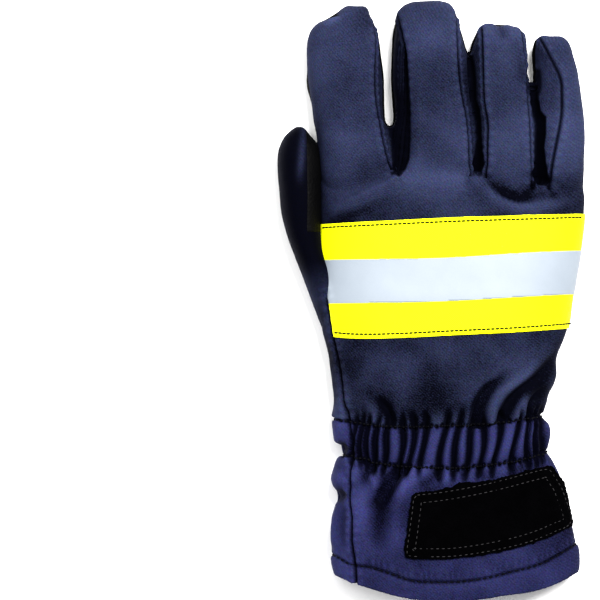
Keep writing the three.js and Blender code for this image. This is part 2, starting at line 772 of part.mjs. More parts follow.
const glove = new THREE.Group();
glove.add(
  meshOf("back_panel", back, cloth),
  meshOf("palm_panel", palm, leather),
  meshOf("forchette_index_middle", forchettes[0], cloth),
  meshOf("forchette_middle_ring", forchettes[1], cloth),
  meshOf("forchette_ring_little", forchettes[2], cloth),
  meshOf("thumb_back", thumb_rest, cloth),
  meshOf("thumb_palm", thumb_pad, leather),
  meshOf("side_panel", side, cloth),
  meshOf("elastic_back", elastic_shell.intersect(back_zone), gathered),
  meshOf("elastic_palm", elastic_shell.intersect(palm_zone), gathered),
  meshOf("cuff_back", cuff_shell.intersect(back_zone), cloth),
  meshOf("cuff_palm", cuff_shell.intersect(palm_zone), cloth),
  meshOf("trim_yellow", trim, yellow),
  meshOf("trim_silver", silver, reflective),
  meshOf("loop_patch", patch, loop_pile),
);

export default glove;
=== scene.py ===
"""Right-hand firefighter glove, palm down: navy twill back, black leather palm, reflective trim,
gathered wrist and a flared cuff with a loop patch. All sizes below are in millimetres."""

import math

import bpy
import numpy as np
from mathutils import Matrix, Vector, noise
from mathutils.bvhtree import BVHTree
from mathutils.kdtree import KDTree


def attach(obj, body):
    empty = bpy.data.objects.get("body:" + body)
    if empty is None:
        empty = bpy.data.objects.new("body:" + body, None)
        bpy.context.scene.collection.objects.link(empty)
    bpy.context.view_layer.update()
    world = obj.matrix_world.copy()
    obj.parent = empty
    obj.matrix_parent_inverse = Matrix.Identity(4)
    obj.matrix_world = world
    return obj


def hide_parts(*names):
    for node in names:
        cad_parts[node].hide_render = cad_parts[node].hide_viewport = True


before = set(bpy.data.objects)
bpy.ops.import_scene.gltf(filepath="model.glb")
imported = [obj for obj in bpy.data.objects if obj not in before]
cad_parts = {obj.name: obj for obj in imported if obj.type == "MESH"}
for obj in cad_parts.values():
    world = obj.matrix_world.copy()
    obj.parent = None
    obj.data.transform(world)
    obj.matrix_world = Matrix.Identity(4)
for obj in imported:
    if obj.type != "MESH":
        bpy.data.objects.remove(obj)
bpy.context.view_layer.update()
bpy.ops.object.select_all(action="DESELECT")

# Table, light and camera. The glove lies on a pale table under two wide soft lamps, and the camera
# looks straight down from high above, with the glove in the right half of the picture.
MM = 0.001
picture_width = 265.5
picture_level = 14
camera_height = 2500
camera_across = -66.4
lens_sensor = 36
farthest_seen = 20
room_light = 0.5
table_size = 9
table_white = 0.97
scene = bpy.context.scene
camera_data = bpy.data.cameras.new("camera")
camera_data.sensor_width = lens_sensor
camera_data.lens = lens_sensor * (camera_height - picture_level) / picture_width
camera_data.clip_end = farthest_seen
camera = bpy.data.objects.new("camera", camera_data)
camera.location = (camera_across * MM, 0, camera_height * MM)
scene.collection.objects.link(camera)
scene.camera = camera
scene.view_settings.view_transform = "Standard"
scene.view_settings.look = "Medium High Contrast"


def lamp(name, place, aim, size, power, colour):
    data = bpy.data.lights.new(name, "AREA")
    data.shape = "DISK"
    data.size = size
    data.energy = power
    data.color = colour
    made = bpy.data.objects.new(name, data)
    made.location = place
    made.rotation_euler = (Vector(aim) - Vector(place)).to_track_quat("-Z", "Y").to_euler()
    scene.collection.objects.link(made)


lamp("key_lamp", (0.9, 1.3, 3.3), (0, 0, 0), 1.5, 265, (1, 0.99, 0.98))
lamp("high_lamp", (-0.8, 0.6, 3.4), (0, 0, 0), 1.8, 70, (1, 1, 1))
world = bpy.data.worlds.new("pale_room")
scene.world = world
world.use_nodes = True
world.node_tree.nodes["Background"].inputs["Color"].default_value = (1, 1, 1, 1)
world.node_tree.nodes["Background"].inputs["Strength"].default_value = room_light

bpy.ops.mesh.primitive_plane_add(size=table_size, location=(0, 0, 0))
table = bpy.context.object
table.name = "table"
table_paint = bpy.data.materials.new("table_paint")
table_paint.use_nodes = True
table_shader = table_paint.node_tree.nodes["Principled BSDF"]
table_shader.inputs["Base Color"].default_value = (table_white, table_white, table_white, 1)
table_shader.inputs["Roughness"].default_value = 0.9
table_shader.inputs["Specular IOR Level"].default_value = 0.1
table.data.materials.append(table_paint)
bpy.ops.object.select_all(action="DESELECT")

# The glove's skin. Cloth and leather are sewn into one hollow hand, so their outer faces are
# worked out as one skin: hand, wrist and cuff, four fingers and a thumb, each as a run of round
# sections, joined, made even with a voxel remesh and smoothed.
# Places on the back are given on a sheet laid over it: a step is 0.4425 mm, 450 across and 300
# down is the glove's origin.
sheet_step = 0.4425
smoothing_shares = (0.6, -0.62)
wide_round, flat_round = 2.4, 3.2


def on_sheet(points):
    grid = np.array(points, float)
    return np.column_stack(((grid[:, 0] - 450) * sheet_step, (300 - grid[:, 1]) * sheet_step))


def slopes(x, y):
    """Slopes of a smooth curve through rows that never overshoots them."""
    step = np.diff(x)[:, None]
    rise = np.diff(y, axis=0) / step
    middle = (rise[:-1] * step[1:] + rise[1:] * step[:-1]) / (step[1:] + step[:-1])
    steepest = 3 * np.minimum(np.abs(rise[:-1]), np.abs(rise[1:]))
    middle = np.sign(middle) * np.minimum(np.abs(middle), steepest)
    middle[rise[:-1] * rise[1:] <= 0] = 0
    return np.vstack((rise[:1], middle, rise[-1:]))


def curve_through(x, y, at):
    """Values of a smooth curve through the rows (x, y) at other places."""
    x = np.asarray(x, float)
    y = np.asarray(y, float)
    flat_row = y.ndim == 1
    if flat_row:
        y = y[:, None]
    slope = slopes(x, y)
    at = np.clip(np.asarray(at, float), x[0], x[-1])
    i = np.clip(np.searchsorted(x, at, side="right") - 1, 0, len(x) - 2)
    width = (x[i + 1] - x[i])[:, None]
    t = (at[:, None] - x[i][:, None]) / width
    found = (
        (1 + 2 * t) * (1 - t) ** 2 * y[i]
        + t * (1 - t) ** 2 * width * slope[i]
        + t * t * (3 - 2 * t) * y[i + 1]
        + t * t * (t - 1) * width * slope[i + 1]
    )
    return found[:, 0] if flat_row else found


def section(y, left, right, low, top, bow=0.0, tilt=0.0, points=96):
    """One closed section of a hand or finger, rounder above than below, at a place along Y."""
    turn = np.linspace(0, 2 * np.pi, points, endpoint=False)
    across = np.cos(turn)
    upper = np.sin(turn) >= 0
    middle = low + (top - low) * 0.46
    above = (1 - np.abs(across) ** wide_round) ** (1 / wide_round)
    below = (1 - np.abs(across) ** flat_round) ** (1 / flat_round)
    z = np.where(
        upper,
        middle + (top - middle) * above,
        np.maximum(low, middle - (middle - low) * 1.12 * below),
    )
    x = (left + right) / 2 + (right - left) / 2 * across
    return np.column_stack((x, y + bow * across**2 - tilt * across, z))


def run_of(rings):
    """A closed body through sections that follow each other."""
    count = len(rings[0])
    points = np.vstack([*rings, rings[0].mean(0)[None], rings[-1].mean(0)[None]])
    faces = []
    for r in range(len(rings) - 1):
        for i in range(count):
            a = r * count + i
            b = r * count + (i + 1) % count
            faces.append((a, a + count, b + count, b))
    last = (len(rings) - 1) * count
    for i in range(count):
        j = (i + 1) % count
        faces.append((len(points) - 2, i, j))
        faces.append((len(points) - 1, last + j, last + i))
    return points, faces


def new_object(name, points, faces):
    mesh = bpy.data.meshes.new(name)
    mesh.from_pydata(points.tolist(), [], faces)
    made = bpy.data.objects.new(name, mesh)
    scene.collection.objects.link(made)
    bpy.context.view_layer.objects.active = made
    return made


def fine_skin(name, bodies, voxel, rounds):
    """Joins closed bodies into one even skin: its points, their normals and its triangles."""
    points, faces, base = [], [], 0
    for body_points, body_faces in bodies:
        points.append(body_points)
        faces += [tuple(i + base for i in face) for face in body_faces]
        base += len(body_points)
    made = new_object(name, np.vstack(points), faces)
    made.select_set(True)
    remesh = made.modifiers.new("remesh", "REMESH")
    remesh.mode = "VOXEL"
    remesh.voxel_size = voxel
    bpy.ops.object.modifier_apply(modifier=remesh.name)
    mesh = made.data
    found = np.empty(len(mesh.vertices) * 3)
    mesh.vertices.foreach_get("co", found)
    found = found.reshape(-1, 3)
    edges = np.empty(len(mesh.edges) * 2, int)
    mesh.edges.foreach_get("vertices", edges)
    a, b = edges.reshape(-1, 2).T
    near = np.bincount(a, minlength=len(found)) + np.bincount(b, minlength=len(found))
    for _ in range(rounds):
        for share in smoothing_shares:
            total = np.zeros_like(found)
            for k in range(3):
                total[:, k] = np.bincount(a, found[b, k], len(found))
                total[:, k] += np.bincount(b, found[a, k], len(found))
            found = found + share * (total / near[:, None] - found)
    mesh.calc_loop_triangles()
    triangles = np.empty(len(mesh.loop_triangles) * 3, int)
    mesh.loop_triangles.foreach_get("vertices", triangles)
    triangles = triangles.reshape(-1, 3)
    bpy.data.objects.remove(made)
    return np.column_stack((found, point_normals(found, triangles))), triangles


def point_normals(points, triangles):
    p = points[:, :3]
    face = np.cross(p[triangles[:, 1]] - p[triangles[:, 0]], p[triangles[:, 2]] - p[triangles[:, 0]])
    normal = np.zeros_like(p)
    for k in range(3):
        for corner in range(3):
            normal[:, k] += np.bincount(triangles[:, corner], face[:, k], len(p))
    return normal / np.maximum(np.linalg.norm(normal, axis=1), 1e-9)[:, None]


# Hand, gathered wrist and cuff in one run: y, left, right, low, top, bow.
body_table = [
    (-138.0, -49.0, 54.0, 1.0, 32.0, 10.6),
    (-132.0, -50.5, 56.0, 0.7, 33.0, 10.6),
    (-128.0, -51.4, 57.0, 0.3, 34.0, 10.3),
    (-122.0, -52.0, 57.0, 0.0, 34.5, 10.0),
    (-114.0, -51.9, 55.6, 0.0, 34.8, 9.0),
    (-105.5, -51.4, 53.8, 0.0, 35.3, 8.3),
    (-97.0, -50.5, 51.9, 0.0, 35.8, 7.4),
    (-88.0, -51.3, 49.8, 0.0, 36.0, 6.7),
    (-81.5, -51.0, 47.5, 0.0, 35.4, 6.2),
    (-77.0, -49.8, 45.3, 0.6, 33.3, 5.8),
    (-73.5, -48.0, 42.8, 1.4, 30.6, 5.5),
    (-69.5, -49.0, 43.0, 0.8, 32.2, 4.9),
    (-64.6, -49.8, 43.3, 0.6, 33.0, 4.0),
    (-59.8, -49.9, 43.0, 0.8, 32.6, 3.5),
    (-55.5, -49.9, 41.5, 1.4, 30.4, 3.0),
    (-51.0, -50.1, 42.1, 0.4, 32.0, 2.4),
    (-43.8, -51.2, 43.3, 0.0, 33.2, 1.2),
    (-35.0, -52.6, 46.8, 0.0, 34.0, 0.3),
    (-23.3, -54.4, 48.0, 0.0, 34.7, 0.0),
    (-13.3, -56.4, 51.5, 0.0, 35.0, 0.0),
    (0.0, -57.6, 53.5, 0.0, 35.0, 0.0),
    (8.7, -57.3, 55.0, 0.0, 34.3, 0.0),
    (22.3, -56.9, 57.3, 0.0, 32.9, 0.0),
    (34.3, -57.0, 58.8, 0.0, 31.2, 0.0),
    (43.6, -57.3, 59.7, 0.0, 29.4, 0.0),
    (54.5, -57.4, 59.1, 0.0, 26.6, 0.0),
]
body_y = np.array([row[0] for row in body_table])
ring_step = 1.5
body_stations = np.arange(body_y[0], body_y[-1] + 0.5, ring_step)
body_stations[-1] = body_y[-1]
body_rows = curve_through(body_y, [row[1:] for row in body_table], body_stations)
crotch_drop = 8
crotch_start = 42
crotch_reach = 12.5
body_rings = [
    section(
        y, *row, tilt=max(0.0, (y - crotch_start) / crotch_reach) * crotch_drop / 2, points=200
    )
    for y, row in zip(body_stations, body_rows)
]

# Each finger: where its axis crosses the knuckle line, lean, length, width, thickness, and its
# sections as shares: along, left, right, low, top.
knuckle_reach = 54.5
fingers = {
    "index": (-42.5, -4.0, 75.7, 33.2, 27.0, [
        (-0.14, -0.75, 0.85, 0.05, 0.78),
        (0.00, -0.88, 0.98, 0.00, 0.98),
        (0.12, -0.91, 1.08, 0.00, 1.02),
        (0.27, -0.96, 1.05, 0.00, 1.00),
        (0.33, -1.01, 0.94, 0.00, 1.00),
        (0.40, -1.03, 0.95, 0.00, 1.00),
        (0.68, -1.06, 0.91, 0.00, 0.98),
        (0.81, -1.00, 0.84, 0.02, 0.93),
        (0.88, -0.83, 0.76, 0.05, 0.87),
        (0.94, -0.40, 0.66, 0.10, 0.78),
        (0.98, -0.10, 0.62, 0.18, 0.70),
        (1.00, 0.05, 0.55, 0.30, 0.60),
    ]),
    "middle": (-7.3, -3.3, 77.2, 34.0, 28.0, [
        (-0.14, -0.95, 0.95, 0.05, 0.88),
        (0.00, -1.07, 1.07, 0.00, 1.00),
        (0.12, -1.12, 1.14, 0.00, 1.02),
        (0.265, -1.10, 1.13, 0.00, 1.00),
        (0.325, -1.00, 1.12, 0.00, 1.00),
        (0.44, -1.01, 1.11, 0.00, 1.00),
        (0.66, -0.97, 1.07, 0.00, 0.98),
        (0.71, -0.95, 1.00, 0.00, 0.98),
        (0.81, -0.89, 0.87, 0.02, 0.94),
        (0.89, -0.81, 0.76, 0.05, 0.87),
        (0.95, -0.72, 0.65, 0.10, 0.78),
        (0.985, -0.57, 0.57, 0.18, 0.68),
        (1.00, -0.36, 0.36, 0.30, 0.58),
    ]),
    "ring": (25.2, -3.1, 67.0, 26.1, 26.0, [
        (-0.16, -0.90, 0.85, 0.05, 0.90),
        (0.00, -1.02, 0.95, 0.00, 1.02),
        (0.17, -1.04, 1.03, 0.00, 1.02),
        (0.34, -1.08, 1.04, 0.00, 1.00),
        (0.55, -1.13, 1.02, 0.00, 1.00),
        (0.61, -1.13, 0.905, 0.00, 1.00),
        (0.70, -1.13, 0.855, 0.00, 0.98),
        (0.80, -1.05, 0.87, 0.02, 0.95),
        (0.885, -0.91, 0.88, 0.05, 0.88),
        (0.94, -0.76, 0.82, 0.10, 0.80),
        (0.98, -0.62, 0.57, 0.18, 0.70),
        (1.00, -0.40, 0.27, 0.30, 0.60),
    ]),
    "little": (48.9, -4.2, 62.3, 22.1, 24.0, [
        (-0.17, -0.85, 0.75, 0.05, 0.80),
        (-0.03, -0.96, 0.94, 0.00, 1.00),
        (0.08, -1.04, 1.00, 0.00, 1.03),
        (0.26, -1.03, 1.03, 0.00, 1.00),
        (0.48, -1.01, 1.05, 0.00, 1.00),
        (0.60, -0.965, 1.02, 0.01, 0.98),
        (0.66, -0.865, 1.00, 0.01, 0.98),
        (0.77, -0.795, 0.95, 0.02, 0.96),
        (0.87, -0.77, 0.83, 0.05, 0.90),
        (0.94, -0.70, 0.75, 0.10, 0.80),
        (0.98, -0.60, 0.62, 0.18, 0.70),
        (1.00, -0.44, 0.46, 0.30, 0.60),
    ]),
}


def finger_rings(root, lean, length, width, thickness, table):
    share = np.array([row[0] for row in table])
    at = np.unique(np.concatenate((np.arange(share[0], 1, ring_step / length), share)))
    rows = curve_through(share, [row[1:] for row in table], at)
    return [
        section(
            knuckle_reach + s * length,
            root + lean * s + left * width / 2,
            root + lean * s + right * width / 2,
            low * thickness,
            top * thickness,
        )
        for s, (left, right, low, top) in zip(at, rows)
    ]


# The thumb, seen on edge beside the hand: along, left, right, low, top as shares.
thumb_side, thumb_width, thumb_root, thumb_length, thumb_height = -67.3, 17.0, -22.0, 98.6, 28.0
thumb_table = [
    (0.00, 0.94, 1.67, 0.04, 0.75),
    (0.09, 0.66, 1.51, 0.00, 0.82),
    (0.22, 0.38, 1.25, 0.00, 0.90),
    (0.36, 0.08, 0.91, 0.00, 0.95),
    (0.43, -0.08, 0.69, 0.00, 0.96),
    (0.49, -0.22, 0.62, 0.00, 0.97),
    (0.60, -0.39, 0.60, 0.00, 0.99),
    (0.72, -0.47, 0.59, 0.00, 1.00),
    (0.85, -0.495, 0.58, 0.00, 0.98),
    (0.92, -0.44, 0.52, 0.04, 0.91),
    (0.96, -0.325, 0.33, 0.12, 0.83),
    (0.985, -0.18, 0.22, 0.22, 0.73),
    (1.00, -0.05, 0.12, 0.35, 0.62),
]
thumb_share = np.array([row[0] for row in thumb_table])
thumb_at = np.unique(np.concatenate((np.arange(0, 1, ring_step / thumb_length), thumb_share)))
thumb_rings = [
    section(
        thumb_root + s * thumb_length,
        thumb_side + left * thumb_width,
        thumb_side + right * thumb_width,
        low * thumb_height,
        top * thumb_height,
    )
    for s, (left, right, low, top) in zip(
        thumb_at, curve_through(thumb_share, [row[1:] for row in thumb_table], thumb_at)
    )
]

skin_voxel = 0.8
smoothing_rounds = 6
hand_points, hand_faces = fine_skin(
    "hand_skin",
    [run_of(body_rings)] + [run_of(finger_rings(*f)) for f in fingers.values()],
    skin_voxel,
    smoothing_rounds,
)
thumb_points, thumb_faces = fine_skin(
    "thumb_skin", [run_of(thumb_rings)], skin_voxel, smoothing_rounds
)

# Seams. The back's panels are sewn inside out, so each seam is a narrow groove with the cloth a
# little puffed and puckered on both sides of it.
palm_seam = 11.0
finger_strips = {
    "index_middle": (
        [(372, 14), (376, 45), (376, 80), (377, 98), (380, 120), (384, 145), (390, 168), (392, 175)],
        [(396, 12), (402, 40), (405, 60), (405, 90), (404, 115), (402, 140), (400, 160), (398, 175)],
    ),
    "middle_ring": (
        [(453, 12), (454, 18), (458, 60), (463, 100), (466, 115), (469, 165), (470, 178)],
        [(482, 24), (481, 60), (482, 100), (486, 130), (486, 160), (484, 178)],
    ),
    "ring_little": (
        [(521, 28), (526, 60), (529, 110), (530, 150), (531, 172), (532, 188)],
        [
            (539, 38), (545, 50), (553, 65), (558, 75), (561, 88), (561, 108), (559, 125),
            (556, 140), (550, 170), (548, 188),
        ],
    ),
}
# Between the fingers the strips turn down, into painted shade where shadow falls there and on the
# middle finger's left side: outline, how far they turn in, how far they sink, how soft the change is
# and how dark the painted shade gets.
finger_gaps = [
    ([
        (398, 132), (400, 100), (401, 60), (404, 45), (406, 60), (408, 90), (409, 115),
        (409, 140), (408, 160), (404, 172), (399, 177), (395, 174), (394, 150),
    ], 1.0, 3.0, 0.7, 1.0),
    ([
        (387, 112), (393, 108), (399, 90), (401, 60), (404, 45), (406, 60), (408, 90), (409, 115),
        (409, 140), (409, 160), (405, 173), (399, 179), (393, 175), (391, 150), (389, 130),
    ], 0.0, 0.0, 0.6, 1.0),
    ([
        (468, 54), (471, 56), (473, 75), (474, 100), (478, 112), (479, 130), (481, 150),
        (484, 163), (481, 172), (474, 172), (472, 164), (475, 155), (476, 140), (474, 120),
        (471, 100), (469, 75),
    ], 0.3, 4.0, 0.45, 1.0),
    ([
        (531, 85), (534, 86), (535, 100), (538, 112), (544, 118), (544, 135), (542, 148),
        (544, 165), (548, 182), (545, 186), (537, 184), (532, 175), (535, 160), (535, 130),
        (532, 105), (531, 92),
    ], 0.6, 4.0, 0.5, 1.0),
    ([(528, 70), (536, 70), (538, 88), (535, 98), (531, 98), (529, 88)], 0.0, 0.0, 1.0, 0.9),
    ([
        (390, 30), (396, 20), (400, 20), (404, 45), (408, 80), (411, 110), (411, 140), (405, 165),
        (398, 170), (391, 120), (389, 70),
    ], 0.0, 0.0, 2.2, 0.7),
    ([
        (398, 45), (404, 45), (410, 90), (411, 150), (404, 165), (398, 120),
    ], 0.0, 0.0, 4.5, 0.6),
    ([
        (466, 55), (470, 50), (478, 40), (480, 60), (481, 100), (485, 130), (485, 165), (476, 172),
        (470, 160), (470, 120), (467, 85),
    ], 0.0, 0.0, 1.5, 0.25),
]
side_seam = on_sheet([
    (326, 288), (329, 310), (332.5, 336), (336, 355), (339, 370), (342, 390), (345, 405),
    (349, 418), (349.5, 430), (350, 450), (351, 465), (350, 475), (349, 495), (352, 515),
    (351, 540), (353, 555), (355, 570), (356, 590),
])
upper_row = on_sheet([
    (325, 417), (351, 421.5), (370, 424), (385, 426), (420, 426), (450, 425), (480, 425),
    (500, 421), (520, 419), (543, 416), (556, 412),
])
lower_row = on_sheet([
    (325, 452), (353, 457), (360, 459), (375, 462), (390, 464), (410, 466), (450, 467),
    (480, 465), (510, 461), (530, 457), (545, 452), (560, 446),
])
hem_row = on_sheet([
    (325, 551), (336, 556), (347, 562), (370, 566), (390, 572), (405, 577.5), (425, 580),
    (450, 580), (480, 577), (510, 570), (540, 562), (560, 552), (575, 544), (590, 536),
])
hem_edge = on_sheet([
    (325, 568), (338, 575), (350, 580), (380, 590), (400, 595), (425, 598.5), (450, 599.5),
    (470, 598.5), (500, 594), (536, 588.5), (555, 582), (573, 574), (590, 565),
])


def row_y(row, x):
    return curve_through(row[:, 0], row[:, 1], x)


def reach_of(line):
    """How far along a line each of its points is."""
    return np.concatenate(([0], np.cumsum(np.linalg.norm(np.diff(line, axis=0), axis=1))))


def dense(line, step):
    """Points along a line of straight pieces, evenly spaced."""
    reach = reach_of(line)
    along = np.linspace(0, reach[-1], max(2, int(reach[-1] / step)))
    return np.column_stack([np.interp(along, reach, line[:, k]) for k in range(line.shape[1])])


def rounded(line, step=1.0):
    """The same line as a smooth curve through its points."""
    line = np.asarray(line, float)
    reach = reach_of(line)
    return curve_through(reach, line, np.linspace(0, reach[-1], max(2, int(reach[-1] / step))))


def to_line(points, line):
    """For each point: the distance to a line in plan, the side of it from -1 to 1, and the share
    along it. The side only lies between -1 and 1 past the line's ends."""
    best = np.full(len(points), 1e9)
    side = np.zeros(len(points))
    share = np.zeros(len(points))
    reach = reach_of(line)
    for i in range(len(line) - 1):
        a, b = line[i], line[i + 1]
        d = b - a
        w = points[:, :2] - a
        t = np.clip((w @ d) / (d @ d), 0, 1)
        gap = np.hypot(*(w - t[:, None] * d).T)
        near = gap < best
        best[near] = gap[near]
        across = (d[0] * w[near, 1] - d[1] * w[near, 0]) / math.hypot(*d)
        side[near] = np.clip(across / np.maximum(gap[near], 1e-6), -1, 1)
        share[near] = (reach[i] + t[near] * (reach[i + 1] - reach[i])) / reach[-1]
    return best, side, share


def inside(points, outline):
    """Distance to a closed outline in plan, above 0 inside it."""
    closed = np.vstack((outline, outline[:1]))
    gap, _, _ = to_line(points, closed)
    x, y = points[:, 0], points[:, 1]
    within = np.zeros(len(points), bool)
    for (ax, ay), (bx, by) in zip(closed[:-1], closed[1:]):
        if ay != by:
            crosses = (ay > y) != (by > y)
            within ^= crosses & (x < (bx - ax) * (y - ay) / (by - ay) + ax)
    return np.where(within, gap, -gap)


def onto(tree, line, above=60.0):
    """Places on the skin straight under the points of a line in plan."""
    found = []
    for x, y in line:
        hit = tree.ray_cast(Vector((x, y, above)), Vector((0, 0, -1)))
        if hit[0] is not None:
            found.append(tuple(hit[0]))
    return np.array(found)


hand_tree = BVHTree.FromPolygons(hand_points[:, :3].tolist(), hand_faces.tolist())
strip_lines = {
    name: [rounded(on_sheet(line)) for line in pair] for name, pair in finger_strips.items()
}
strip_outlines = {}
for name, (left, right) in strip_lines.items():
    strip_outlines[name] = np.vstack((
        left, right[::-1], [[right[0, 0], 160.0], [left[0, 0], 160.0]],
    ))
seam_step = 0.4
sewn = [
    onto(hand_tree, dense(line, seam_step))
    for line in [line for pair in strip_lines.values() for line in pair] + [side_seam]
]
seam_points = np.vstack(sewn)
seam_reach = np.concatenate([reach_of(line) for line in sewn])
seam_tree = KDTree(len(seam_points))
for i, place in enumerate(seam_points):
    seam_tree.insert(place, i)
seam_tree.balance()


# Relief of the cloth. Empty twill lies in soft folds, gathers where the elastic pulls it together,
# and puckers along the seams and stitches that hold it.
def smooth(low, high, value):
    t = np.clip((value - low) / (high - low), 0, 1)
    return t * t * (3 - 2 * t)


def clouds(points, size, seed):
    """Soft noise between about -1 and 1, of one size, at each point."""
    shift = Vector((seed * 17.3, seed * 5.1, seed * 9.7))
    return np.array([noise.noise(Vector(p) / size + shift) for p in points[:, :3]])


# Each fold: its line on the sheet, rise, width on its soft side and on its sharp side, and how it
# fades: 0 at both ends, 1 only at its end, -1 only at its start.
folds = [
    ([(398, 180), (380, 188), (355, 200), (322, 217)], 2.0, 4.5, 2.6, 1),
    ([(396, 188), (372, 202), (345, 216), (322, 228)], -0.8, 3.5, 3.5, 0),
    ([(489, 180), (495, 188), (505, 195), (520, 200), (536, 199)], -1.4, 3.2, 2.4, 0),
    ([(470, 182), (450, 187), (425, 185), (402, 180)], 1.3, 5.0, 5.0, 0),
    ([(482, 184), (498, 201), (520, 208), (545, 207), (575, 199)], 1.3, 4.0, 3.0, 0),
    ([(398.5, 177), (398.5, 183), (399, 191)], -1.3, 1.5, 1.5, 1),
    ([(469, 178), (466, 185), (461, 191)], -0.6, 1.7, 1.7, 1),
    ([(487, 178), (491, 184), (497, 190)], -0.5, 1.7, 1.7, 1),
    ([(530, 188), (525, 193), (519, 197)], -0.7, 1.7, 1.7, 1),
    ([(550, 189), (552, 196), (553, 204)], -0.7, 1.7, 1.7, 1),
    ([(562, 338), (556, 352), (535, 378), (508, 400), (500, 418)], -2.6, 4.0, 2.4, -1),
    ([(545, 352), (522, 378), (497, 396), (488, 418)], 1.5, 4.5, 2.6, -1),
    ([(510, 366), (500, 378), (485, 390), (477, 405), (475, 425)], -2.6, 3.2, 2.2, -1),
    ([(552, 384), (535, 398), (530, 408), (528, 419)], -1.9, 2.5, 1.8, -1),
    ([(545, 380), (523, 395), (515, 419)], 1.2, 3.0, 2.0, -1),
    ([(547, 402), (541, 408), (538, 416)], -1.0, 1.8, 1.4, -1),
    ([(374, 394), (380, 402), (386, 411), (391, 422)], -1.9, 2.2, 1.5, -1),
    ([(360, 392), (371, 410), (377, 424)], 0.8, 2.6, 2.0, -1),
    ([(406, 402), (409, 414), (413, 425)], -0.9, 1.8, 1.4, -1),
    ([(425, 408), (424, 416), (424, 425)], -0.8, 1.6, 1.2, -1),
    ([(450, 404), (446, 415), (445, 424)], -0.9, 1.8, 1.4, -1),
    ([(466, 400), (461, 412), (459, 424)], -0.9, 1.8, 1.4, -1),
    ([(398, 466), (392, 476), (380, 495), (366, 510)], -2.8, 4.5, 2.6, 1),
    ([(418, 468), (404, 480), (392, 496), (384, 512)], 1.6, 4.0, 2.6, 1),
    ([(436, 468), (424, 480), (416, 488)], -0.8, 2.2, 1.8, 1),
    ([(372, 464), (364, 476), (360, 488)], -1.1, 2.4, 1.8, 1),
    ([(356, 462), (353, 475), (352, 487)], 0.8, 2.4, 1.8, 1),
    ([(478, 466), (481, 474), (482, 482)], -1.1, 2.0, 1.4, 1),
    ([(458, 467), (461, 474), (464, 480)], -0.9, 1.8, 1.4, 1),
    ([(520, 459), (520, 466), (519, 473)], -0.7, 1.6, 1.4, 1),
    ([(347, 444), (339, 449), (330, 454)], -2.4, 3.0, 2.2, 0),
    ([(344, 392), (340, 412), (342, 436)], 0.9, 3.0, 2.5, 0),
    ([(349, 405), (346, 425), (346, 445)], -1.0, 2.0, 2.0, 0),
    ([(330, 499), (338, 496), (346, 491)], -1.5, 3.0, 2.2, 0),
    ([(330, 478), (338, 478), (346, 476)], 1.0, 4.0, 4.0, 0),
    ([(364, 482), (359, 505), (361, 535)], 0.8, 4.0, 4.0, 0),
    ([(384, 500), (376, 522), (377, 552)], -0.7, 4.5, 3.5, 0),
    ([(398, 500), (394, 525), (396, 556)], 0.5, 4.0, 4.0, 0),
    ([(344, 506), (340, 528), (343, 548)], -0.9, 2.6, 2.2, 0),
    ([(336, 506), (334, 528), (336, 546)], 0.6, 2.6, 2.2, 0),
    ([(366, 470), (372, 478), (376, 490)], 0.9, 2.2, 1.8, 0),
    ([(448, 468), (446, 476), (440, 484)], 0.7, 2.2, 1.8, 0),
    ([(500, 463), (502, 469), (501, 475)], 0.6, 2.0, 1.8, 0),
    ([(324, 21), (331, 18), (338, 14)], -3.6, 1.7, 1.2, 0),
    ([(322, 27), (331, 24), (341, 18)], 1.5, 2.1, 1.2, 0),
    ([(499, 26), (502, 34), (503, 44)], -0.7, 2.4, 2.0, 1),
]
fold_lines = [(rounded(on_sheet(line)), *rest) for line, *rest in folds]
# Valleys of the gathers: where each meets the upper and the lower row, and how deep it is.
pleat_tops = [354, 361, 368, 378, 388, 403, 413, 424, 445, 459, 472, 484, 499, 517, 528, 537, 543]
pleat_lows = [353, 359, 365, 372, 382, 398, 408, 420, 438, 451, 464, 478, 493, 512, 527, 535, 541]
pleat_depths = [0.5, 0.6, 0.7, 1.1, 1.0, 1.1, 0.9, 1.2, 1.3, 1.1, 1.2, 1.0, 1.2, 1.1, 0.9, 0.9, 0.6]
# How high, deep, wide and far apart gathers, stitches, seams and puckers are.
pleat_width = 1.2
pleat_rise, pleat_drop = 1.3, 2.3
pleat_sway = 0.8
crest_width = 1.9
under_pitch = 6.4
elastic_height = 18
row_groove = 1.8
row_dots, row_zigzag, hem_dots = 2.3, 4.6, 2.4
hem_groove = 0.8
palm_groove = 0.8
seam_groove = 1.4
seam_width = 0.7
seam_puff = 0.4
pucker_pitch = 4.4
strip_sink = 0.9
wide_fold = 2
wide_gain, narrow_gain = 1.75, 1.1
cuff_start = -60
waves = ((1.2, 36, 1), (0.5, 15, 2), (0.12, 6, 3))


def ridge(gap, width):
    """1 on a line, and softly down to 0 at about twice the width from it."""
    return np.exp(-((gap / width) ** 2))


def fading(share, reach):
    """1 from the upper row to the lower one, and softly down to 0 beyond them."""
    return np.where(share < 0, ridge(share, reach), np.where(share > 1, ridge(share - 1, reach), 1))


def in_box(points, low, high, above):
    """Which points lie in a rectangle in plan and above a height."""
    x, y, z = points[:, :3].T
    return np.where((x > low[0]) & (x < high[0]) & (y > low[1]) & (y < high[1]) & (z > above))[0]


